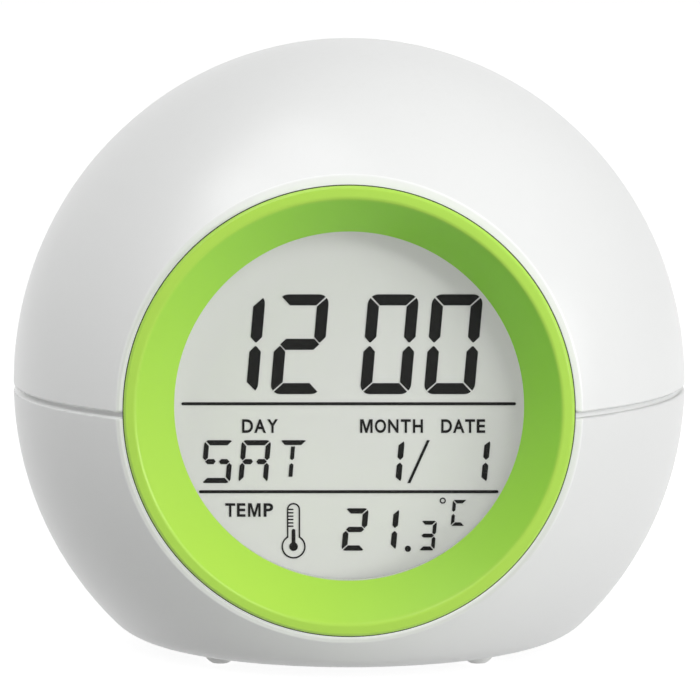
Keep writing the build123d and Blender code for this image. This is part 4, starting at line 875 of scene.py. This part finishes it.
def make_glass_border():
    """Front glass of the display, with its clear middle left open so that light gets in."""
    low, high = (Vector(corner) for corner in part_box("lcd_front_glass"))
    half = (high.x - low.x) / 2 / MM
    bottom, top = ((z - CENTRE.z) / MM for z in (low.z, high.z))
    cut, count = 7.0, 128
    right = [(half - cut, bottom), (half, bottom + cut + 2.0), (half, top - cut), (half - cut, top)]
    corners = right + [(-x, z) for x, z in reversed(right)]
    inner = arc(0.0, RING_Z, CLEAR_R, 0, 360 - 360 / count, count - 1)
    border = Print("lcd_front_glass")
    border.band([reach_of(corners, x, z) for x, z in inner], inner)
    place_piece("display_glass_border", new_mesh("glass border", border.points, border.faces),
                "clock", "display_glass", "lcd_front_glass", sharp=30, weighted=False)


def reach_of(corners, x, z):
    """Where the ray from the ring axis through (x, z) leaves an outline."""
    dx, dz = x, z - RING_Z
    reaches = []
    for (ax, az), (bx, bz) in zip(corners, corners[1:] + corners[:1]):
        cross = dx * (bz - az) - dz * (bx - ax)
        if abs(cross) > 1e-9:
            along = (ax * (bz - az) - (az - RING_Z) * (bx - ax)) / cross
            share = (ax * dz - (az - RING_Z) * dx) / cross
            if along > 0 and -1e-6 <= share <= 1 + 1e-6:
                reaches.append(along)
    return dx * min(reaches), RING_Z + dz * min(reaches)


# ---- display ----

# Bars that each character lights
LIT = {"0": "abcdef", "1": "bc", "2": "abged", "3": "abgcd", "4": "fgbc", "5": "afgcd",
       "6": "afgedc", "7": "abc", "8": "abcdefg", "9": "abcdfg", "C": "afed", "S": "afhjcd",
       "A": "fehjabc", "T": "aim"}

# Cells of the characters: width, height, width of the upright and of the level bars, gap, corner
CELLS = {"time": (6.5, 12.87, 1.48, 1.42, 0.21, 1.3), "day": (3.78, 5.56, 0.64, 0.66, 0.17, 0.6),
         "narrow": (3.6, 5.56, 0.5, 0.62, 0.2, 0.5), "date": (3.75, 5.62, 0.74, 0.62, 0.17, 0.6),
         "degrees": (3.05, 5.51, 0.72, 0.68, 0.18, 0.55),
         "tenth": (2.08, 3.84, 0.48, 0.5, 0.14, 0.4), "unit": (1.8, 3.37, 0.43, 0.45, 0.13, 0.2)}
TIME_LEFTS, TIME_LOW = (-18.21, -10.06, 1.44, 9.64), 1.27

# Characters under the time: sign, left, low, cell
SIGNS = (("S", -19.0, -10.26, "day"), ("A", -14.2, -10.26, "day"), ("T", -9.34, -10.26, "narrow"),
         ("1", 3.0, -10.24, "date"), ("1", 14.03, -10.24, "date"), ("2", -0.92, -19.06, "degrees"),
         ("1", 3.04, -19.06, "degrees"), ("3", 9.0, -19.02, "tenth"), ("C", 13.16, -15.83, "unit"))

# Small words: text, left, right, low
WORDS = (("DAY", -13.67, -9.07, -3.75), ("MONTH", 1.49, 9.57, -3.75), ("DATE", 11.92, 17.57, -3.75),
         ("TEMP", -15.87, -9.7, -14.65))

# Rules: height, left, right
RULES = ((0.02, -21.43, 21.49), (-11.39, -19.23, 19.28))
RULE_HALF, RULE_INSET = 0.195, 0.17


class Print:
    """Flat shapes of one layer of the display, gathered into one mesh."""

    def __init__(self, node):
        self.front, self.back = depth(node, 0), depth(node, 1)
        self.points, self.faces = [], []

    def add_line(self, line):
        """Puts an outline of (x, z) points on the front and on the back of the layer."""
        for y in (self.front, self.back):
            self.points += [at(x + PRINT_X, y, z + PRINT_Z) for x, z in line]

    def outline(self, line):
        """Solid shape inside an outline."""
        self.faces += prism_faces(len(line), len(self.points))
        self.add_line(line)

    def band(self, outer, inner):
        """Closed band between two outlines with the same number of points."""
        count = len(outer)
        a, b, c, d = (len(self.points) + count * k for k in range(4))
        self.add_line(outer)
        self.add_line(inner)
        for i in range(count):
            k = (i + 1) % count
            self.faces += [(a + i, a + k, c + k, c + i), (b + k, b + i, d + i, d + k),
                           (a + k, a + i, b + i, b + k), (c + i, c + k, d + k, d + i)]

    def words(self, text, left, right, low, height):
        """Printed word between two sides, standing on a height."""
        mesh = words_mesh(text, height, thick=self.back - self.front)
        first, last = (pick(v.co.x for v in mesh.vertices) for pick in (min, max))
        stretch = (right - left) / (last - first)
        middle = (self.front + self.back) / 2
        for v in mesh.vertices:
            v.co = at(left + (v.co.x - first) * stretch + PRINT_X, middle - v.co.z,
                      low + v.co.y + PRINT_Z)
        return mesh


def arc(x, z, radius, start, end, steps):
    """Points of an arc between two angles in degrees."""
    turns = (radians(start + (end - start) * k / steps) for k in range(steps + 1))
    return [(x + radius * cos(t), z + radius * sin(t)) for t in turns]


def bars(width, height, upright, level, gap, corner):
    """Outlines of the bars of one upright cell whose lower left corner is the origin."""
    mitre, corner = gap / sqrt(2), max(corner, gap)
    side, thin, middle, centre = upright / 2, level / 2, height / 2, width / 2
    turn = 135 - degrees(acos(-gap / (2 * corner)))

    def mirror_x(line):
        return [(width - x, z) for x, z in reversed(line)]

    def mirror_z(line):
        return [(x, height - z) for x, z in reversed(line)]

    def rounding(start, end):
        return arc(width - corner, height - corner, corner, start, end, 5)

    def level_bar(end, point):
        return [(side, middle), (side + thin, middle - thin), (end - point, middle - thin),
                (end, middle), (end - point, middle + thin), (side + thin, middle + thin)]

    b = [(width, middle + side + gap), *rounding(0, turn),
         (width - upright, height - level - mitre), (width - upright, middle + side + gap),
         (width - upright * 0.56, middle + gap * 1.2), (width - upright * 0.44, middle + gap * 1.2)]
    half = [(width - level - mitre, height - level), *rounding(90 - turn, 90)]
    a = [*half, *mirror_x(half)]
    h = level_bar(centre - gap * 1.3, thin * 0.7)
    post = level * 0.42
    i = [(centre - post, middle + gap * 2), (centre, middle + gap),
         (centre + post, middle + gap * 2), (centre + post, height - level - gap),
         (centre - post, height - level - gap)]
    return {"a": a, "b": b, "c": mirror_z(b), "d": mirror_z(a), "e": mirror_z(mirror_x(b)),
            "f": mirror_x(b), "g": level_bar(width - side, thin), "h": h, "j": mirror_x(h),
            "i": i, "m": mirror_z(i)}


def put_digit(shown, sign, left, low, size, slant=5.0):
    """Lit bars of one character whose cell starts at the lower left; others stay blank."""
    cell = bars(*size)
    for name in LIT.get(sign, ""):
        shown.outline([(left + x + z * tan(radians(slant)), low + z) for x, z in cell[name]])


def put_thermometer(shown):
    """Bulb and tube, and the column in them."""
    x, bulb_z, top, bulb_r, tube_r, line = -7.08, -18.54, -12.85, 1.555, 0.85, 0.19

    def skin(bulb_r, tube_r, top):
        start = degrees(acos(tube_r / bulb_r))
        return (arc(x, bulb_z, bulb_r, start, -start - 180, 40)
                + arc(x, top - tube_r, tube_r, 180, 0, 14))
    shown.band(skin(bulb_r, tube_r, top), skin(bulb_r - line, tube_r - line, top - line))
    shown.outline(skin(0.56, 0.245, -16.24))


def put_ticks():
    """Scale of the thermometer, a row of six short bars."""
    rows = ridges("scale", "display_ink", 6, pitch=0.438, length=0.84, width=0.19, height=0.05)
    y = (depth("lcd_segments", 0) + depth("lcd_segments", 1)) / 2
    for v in rows.vertices:
        v.co = at(-7.58 + v.co.y / MM, y - v.co.z / MM, -14.75 - v.co.x / MM)
    return rows


def make_display():
    """Dark layer of the display: digits, rules, words and the thermometer."""
    settings = bpy.context.scene.clock_display
    shown = Print("lcd_segments")
    time = [(sign, left, TIME_LOW, "time") for sign, left in zip(settings.hour_text, TIME_LEFTS)]
    for sign, left, low, size in (*time, *SIGNS):
        put_digit(shown, sign, left, low, CELLS[size])
    shown.outline([(7.58, -10.26), (7.96, -10.26), (10.46, -4.7), (10.08, -4.7)])
    for z, left, right in RULES:
        shown.outline([*arc(right - RULE_INSET, z, RULE_HALF, -90, 90, 6),
                       *arc(left + RULE_INSET, z, RULE_HALF, 90, 270, 6)])
    point_r, hole_r = 0.4, 0.24
    shown.outline(arc(7.66, -18.82, point_r, 0, 337.5, 15))
    shown.band(*(arc(12.14, -12.55, radius, 0, 345, 23) for radius in (point_r, hole_r)))
    put_thermometer(shown)
    height = settings.label_height / MM
    parts = [new_mesh("shown", shown.points, shown.faces),
             *(shown.words(*word, height) for word in WORDS), put_ticks()]
    place_piece("display_print", joined_mesh("display print", parts), "clock", "display_ink",
                "lcd_segments", sharp=40, weighted=False)
    make_glass_border()


# ---- keys, light switch and feet ----

def make_key(node, x):
    """Key cap whose face follows the ball, with its flange and nose."""
    proud, edge, flange_r, nose_r, count = 0.8, 0.4, KEY_R + 0.75, 1.5, 64
    flange = sqrt((BALL_R - WALL) ** 2 - (abs(x) + flange_r) ** 2
                  - (KEY_Z - flange_r) ** 2) - 0.5
    rounding = [pi / 2 * k / 6 for k in range(7)]
    face = [(KEY_R * k / 8, 0.0) for k in range(7)]
    face += [(KEY_R - edge + edge * sin(turn), edge * (1 - cos(turn))) for turn in rounding]
    stem = [(KEY_R, flange), (flange_r, flange), (flange_r, flange - 0.8), (nose_r, flange - 0.8),
            (nose_r, depth(node, 0))]

    def place(i, dx, dz):
        if i >= len(face):
            return at(x + dx, stem[i - len(face)][1], KEY_Z + dz)
        bulge = sqrt((BALL_R + proud) ** 2 - (x + dx) ** 2 - (KEY_Z + dz) ** 2)
        return at(x + dx, bulge - face[i][1], KEY_Z + dz)
    return lathe(node, [radius for radius, _ in face + stem], place, count, closed=True)


def make_keys():
    """Four key caps and the words round the keys and the switch."""
    height = bpy.context.scene.clock_shell.word_height / MM
    words = []
    for key, word, x in KEYS:
        node = f"{key}_key"
        place_piece(f"{key}_cap", make_key(node, x), node, "key_white", node, sharp=35)
        words.append(rear_words(word, x, KEY_Z + KEY_R + 1.15, height))
    for word, x, z in (("OFF", -5.9, SLIDE_Z - 0.6), ("ON", 5.4, SLIDE_Z - 0.6),
                       ("LIGHT", 0.0, SLIDE_Z - 3.9)):
        words.append(rear_words(word, x, z, height))
    place_piece("key_words", joined_mesh("key words", words), "clock", "plunger_grey", sharp=40,
                weighted=False)


def make_knob():
    """Slide knob with grip ridges."""
    knob = merged_copy("light_switch_knob", "knob")
    place_piece("slide_knob", knob, "light_switch", "switch_black", "light_switch_knob",
                sharp=30)
    rows = ridges("knob ridges", "switch_black", 3, pitch=0.8, length=2.0, width=0.35, height=0.3)
    x, y = -1.5, depth("light_switch_knob", 1) - 0.1
    for v in rows.vertices:
        v.co = at(x + v.co.x / MM, y + v.co.z / MM, SLIDE_Z + v.co.y / MM)
    place_piece("knob_ridges", rows, "light_switch", "switch_black", sharp=40)


def make_feet():
    """Soft feet, each a turned piece with its peg."""
    bottom, flat_r, peg_r, peg_top, steps = -CENTRE.z / MM, 1.1, 0.9, BASE_FLAT + 1.15, 12
    rise = BASE_FLAT - bottom
    drop = (FOOT_R ** 2 - flat_r ** 2 - rise ** 2) / (2 * rise)
    round_r = sqrt(FOOT_R ** 2 + drop ** 2)
    inner, outer = asin(flat_r / round_r), asin(FOOT_R / round_r)
    turns = [inner * (1 - k / steps) + outer * k / steps for k in range(steps + 1)]
    profile = [(0.0, bottom)]
    profile += [(round_r * sin(t), BASE_FLAT + drop - round_r * cos(t)) for t in turns]
    profile += [(peg_r, BASE_FLAT), (peg_r, peg_top), (0.0, peg_top)]
    for node, body in (("front_feet", "clock"), ("rear_feet", "battery_door")):
        y = (depth(node, 0) + depth(node, 1)) / 2
        x = (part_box(node)[1][0] - CENTRE.x) / MM - FOOT_R
        feet = [turned(node, profile, (side * x, y, 0.0), "Z", 48) for side in (-1, 1)]
        place_piece(f"{node}_soft", joined_mesh(node, feet), body, "foot_grey", node, sharp=40)


def make_springs():
    """Springs under the dome, placed as one piece with a mesh of its own."""
    press = next(joint for joint in frame["joints"] if joint["name"] == "dome_press")
    travel = max(abs(end) for end in press["range_m"])
    springs = place_piece("press_springs", merged_copy("dome_springs", "press springs"), "clock",
                          "spring_steel", "dome_springs", sharp=40)
    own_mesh(springs)


# ---- carried-over pieces ----

def dress_frame():
    """Gives every CAD node that stays the finish of its slot."""
    for name, node in frame["nodes"].items():
        for place in node.material_slots:
            label = place.material.name.split(".")[0]
            # The rear glass takes the reflector's finish, together with its painted glow
            place.material = MATERIALS["display_back" if name == "lcd_rear_glass" else label]


# ---- stage ----

def white_to_view(tree):
    """1 for rays of the camera, of mirrors and of glass, which see the backdrop as white."""
    path = add(tree, "ShaderNodeLightPath").outputs
    seen = calc(tree, "MAXIMUM", path["Is Camera Ray"], path["Is Transmission Ray"])
    return calc(tree, "MAXIMUM", seen, path["Is Glossy Ray"])


def stage_material():
    """Pale floor that shows nearly white where it is seen and keeps a faint shadow."""
    material, tree, shader = blank_material("floor", Roughness=0.9)
    seen = white_to_view(tree)
    speck = add(tree, "ShaderNodeTexNoise", {"Scale": 6.0}).outputs["Fac"]
    tone = calc(tree, "ADD", calc(tree, "MULTIPLY", seen, -0.42),
                calc(tree, "ADD", 0.55, calc(tree, "MULTIPLY", speck, 0.02)))
    shade = add(tree, "ShaderNodeCombineColor", {"Red": tone, "Green": tone, "Blue": tone})
    tree.links.new(shade.outputs[0], shader.inputs["Base Color"])
    glow = add(tree, "ShaderNodeEmission", {"Color": (1, 1, 1, 1), "Strength": 0.93})
    none = add(tree, "ShaderNodeEmission", {"Strength": 0.0})
    lit = add(tree, "ShaderNodeMixShader", {0: seen, 1: none.outputs[0], 2: glow.outputs[0]})
    above = add(tree, "ShaderNodeAddShader", {0: shader.outputs[0], 1: lit.outputs[0]})
    below = add(tree, "ShaderNodeBsdfTransparent")
    whole = add(tree, "ShaderNodeMixShader",
                {0: add(tree, "ShaderNodeNewGeometry").outputs["Backfacing"],
                 1: above.outputs[0], 2: below.outputs[0]})
    tree.links.new(whole.outputs[0], tree.nodes["Material Output"].inputs["Surface"])
    return material


# Lamps: name, place from the ball centre in metres, share of the power, width in metres
LAMPS = (("key light", (0.95, -0.8, 0.1), 0.3, 0.5), ("high light", (0.5, -1.1, 0.6), 0.18, 0.5),
         ("right light", (1.1, -0.45, 0.1), 0.17, 0.8),
         ("left light", (-0.7, -0.5, 0.9), 0.185, 0.8),
         ("top light", (-0.35, -0.2, 1.1), 0.165, 0.8), ("rear light", (0.1, 1.3, 0.1), 0.12, 0.6))
FLOOR_HALF = 3.0


def make_stage():
    """Floor, camera, lamps and room light."""
    scene = bpy.context.scene
    settings = scene.clock_stage
    floor = bpy.data.meshes.new("floor")
    floor.from_pydata([(x * FLOOR_HALF, y * FLOOR_HALF, 0)
                       for x, y in ((-1, -1), (1, -1), (1, 1), (-1, 1))], [], [(0, 1, 2, 3)])
    floor.materials.append(stage_material())
    ground = linked("floor", floor)

    camera = linked("camera", bpy.data.cameras.new("camera"))
    rise, level = sin(settings.elevation), cos(settings.elevation)
    camera.location = CENTRE + Vector((0.0, -level, rise)) * settings.distance
    aim = CENTRE + Vector((0.0, rise, level)) * 5.397 * MM + Vector((0.12 * MM, 0.0, 0.0))
    camera.rotation_euler = (aim - camera.location).to_track_quat("-Z", "Y").to_euler()
    camera.data.lens = settings.focal
    camera.data.sensor_width = 36.0
    camera.data.clip_start, camera.data.clip_end = 0.01, 20.0
    scene.camera = camera

    for name, place, share, width in LAMPS:
        holder = linked(name, bpy.data.lights.new(name, "AREA"))
        holder.data.energy, holder.data.size = share * settings.power, width
        holder.location = CENTRE + Vector(place)
        holder.rotation_euler = (-Vector(place)).to_track_quat("-Z", "Y").to_euler()
        holder.visible_glossy = place[1] < 0

    world = bpy.data.worlds.new("room")
    world.use_nodes = True
    tree = world.node_tree
    tree.nodes.clear()
    room = add(tree, "ShaderNodeBackground", {"Color": (1, 1, 1, 1), "Strength": settings.sky})
    white = add(tree, "ShaderNodeBackground", {"Color": (1, 1, 1, 1), "Strength": 1.0})
    mix = add(tree, "ShaderNodeMixShader", {0: white_to_view(tree), 1: room.outputs[0],
                                            2: white.outputs[0]})
    add(tree, "ShaderNodeOutputWorld", {"Surface": mix.outputs[0]})
    scene.world = world
    scene.view_settings.view_transform = "Standard"


# ---- operators ----

class CLOCK_OT_finishes(bpy.types.Operator):
    """Makes the finishes and dresses the carried-over pieces"""
    bl_idname = "clock.finishes"
    bl_label = "Finishes"

    def execute(self, context):
        make_finishes(context.scene)
        dress_frame()
        return {"FINISHED"}


class CLOCK_OT_shells(bpy.types.Operator):
    """Builds the dome and the base"""
    bl_idname = "clock.shells"
    bl_label = "Shells"

    def execute(self, context):
        make_shells()
        return {"FINISHED"}


class CLOCK_OT_door(bpy.types.Operator):
    """Builds the battery door with its grip"""
    bl_idname = "clock.door"
    bl_label = "Battery Door"

    def execute(self, context):
        make_door()
        return {"FINISHED"}


class CLOCK_OT_ring(bpy.types.Operator):
    """Builds the funnel ring and the lens"""
    bl_idname = "clock.ring"
    bl_label = "Ring and Lens"

    def execute(self, context):
        make_ring()
        return {"FINISHED"}


class CLOCK_OT_display(bpy.types.Operator):
    """Builds the dark layer of the display"""
    bl_idname = "clock.display"
    bl_label = "Display"

    def execute(self, context):
        make_display()
        return {"FINISHED"}


class CLOCK_OT_keys(bpy.types.Operator):
    """Builds the key caps and the words on the rear"""
    bl_idname = "clock.keys"
    bl_label = "Keys and Words"

    def execute(self, context):
        make_keys()
        return {"FINISHED"}


class CLOCK_OT_knob(bpy.types.Operator):
    """Builds the knob of the light switch"""
    bl_idname = "clock.knob"
    bl_label = "Light Switch Knob"

    def execute(self, context):
        make_knob()
        return {"FINISHED"}


class CLOCK_OT_springs(bpy.types.Operator):
    """Builds the springs under the dome"""
    bl_idname = "clock.springs"
    bl_label = "Dome Springs"

    def execute(self, context):
        make_springs()
        return {"FINISHED"}


class CLOCK_OT_feet(bpy.types.Operator):
    """Builds the four feet"""
    bl_idname = "clock.feet"
    bl_label = "Feet"

    def execute(self, context):
        make_feet()
        return {"FINISHED"}


class CLOCK_OT_stage(bpy.types.Operator):
    """Sets the floor, the camera and the light"""
    bl_idname = "clock.stage"
    bl_label = "Stage"

    def execute(self, context):
        make_stage()
        return {"FINISHED"}


STEPS = (CLOCK_OT_finishes, CLOCK_OT_shells, CLOCK_OT_door, CLOCK_OT_ring, CLOCK_OT_display,
         CLOCK_OT_keys, CLOCK_OT_knob, CLOCK_OT_springs, CLOCK_OT_feet, CLOCK_OT_stage)


class CLOCK_PT_panel(bpy.types.Panel):
    """Steps of the clock, in order, with their settings"""
    bl_label = "Ball Alarm Clock"
    bl_idname = "CLOCK_PT_panel"
    bl_space_type = "VIEW_3D"
    bl_region_type = "UI"
    bl_category = "Clock"

    def draw(self, context):
        for step in STEPS:
            self.layout.operator(step.bl_idname)
        for name in SETTINGS:
            group = getattr(context.scene, name)
            for key in group.__annotations__:
                self.layout.prop(group, key)


SETTINGS = {"clock_shell": ClockShellSettings, "clock_ring": ClockRingSettings,
            "clock_display": ClockDisplaySettings, "clock_stage": ClockStageSettings}


def register():
    """Adds the settings, the steps and the panel to Blender."""
    for name, group in SETTINGS.items():
        bpy.utils.register_class(group)
        setattr(bpy.types.Scene, name, PointerProperty(type=group))
    for item in (*STEPS, CLOCK_PT_panel):
        bpy.utils.register_class(item)


def unregister():
    """Takes them out again."""
    for item in (CLOCK_PT_panel, *reversed(STEPS)):
        bpy.utils.unregister_class(item)
    for name, group in SETTINGS.items():
        delattr(bpy.types.Scene, name)
        bpy.utils.unregister_class(group)


def main():
    """Runs every step in order."""
    register()
    for step in STEPS:
        group, name = step.bl_idname.split(".")
        getattr(getattr(bpy.ops, group), name)()


if __name__ == "__main__":
    main()
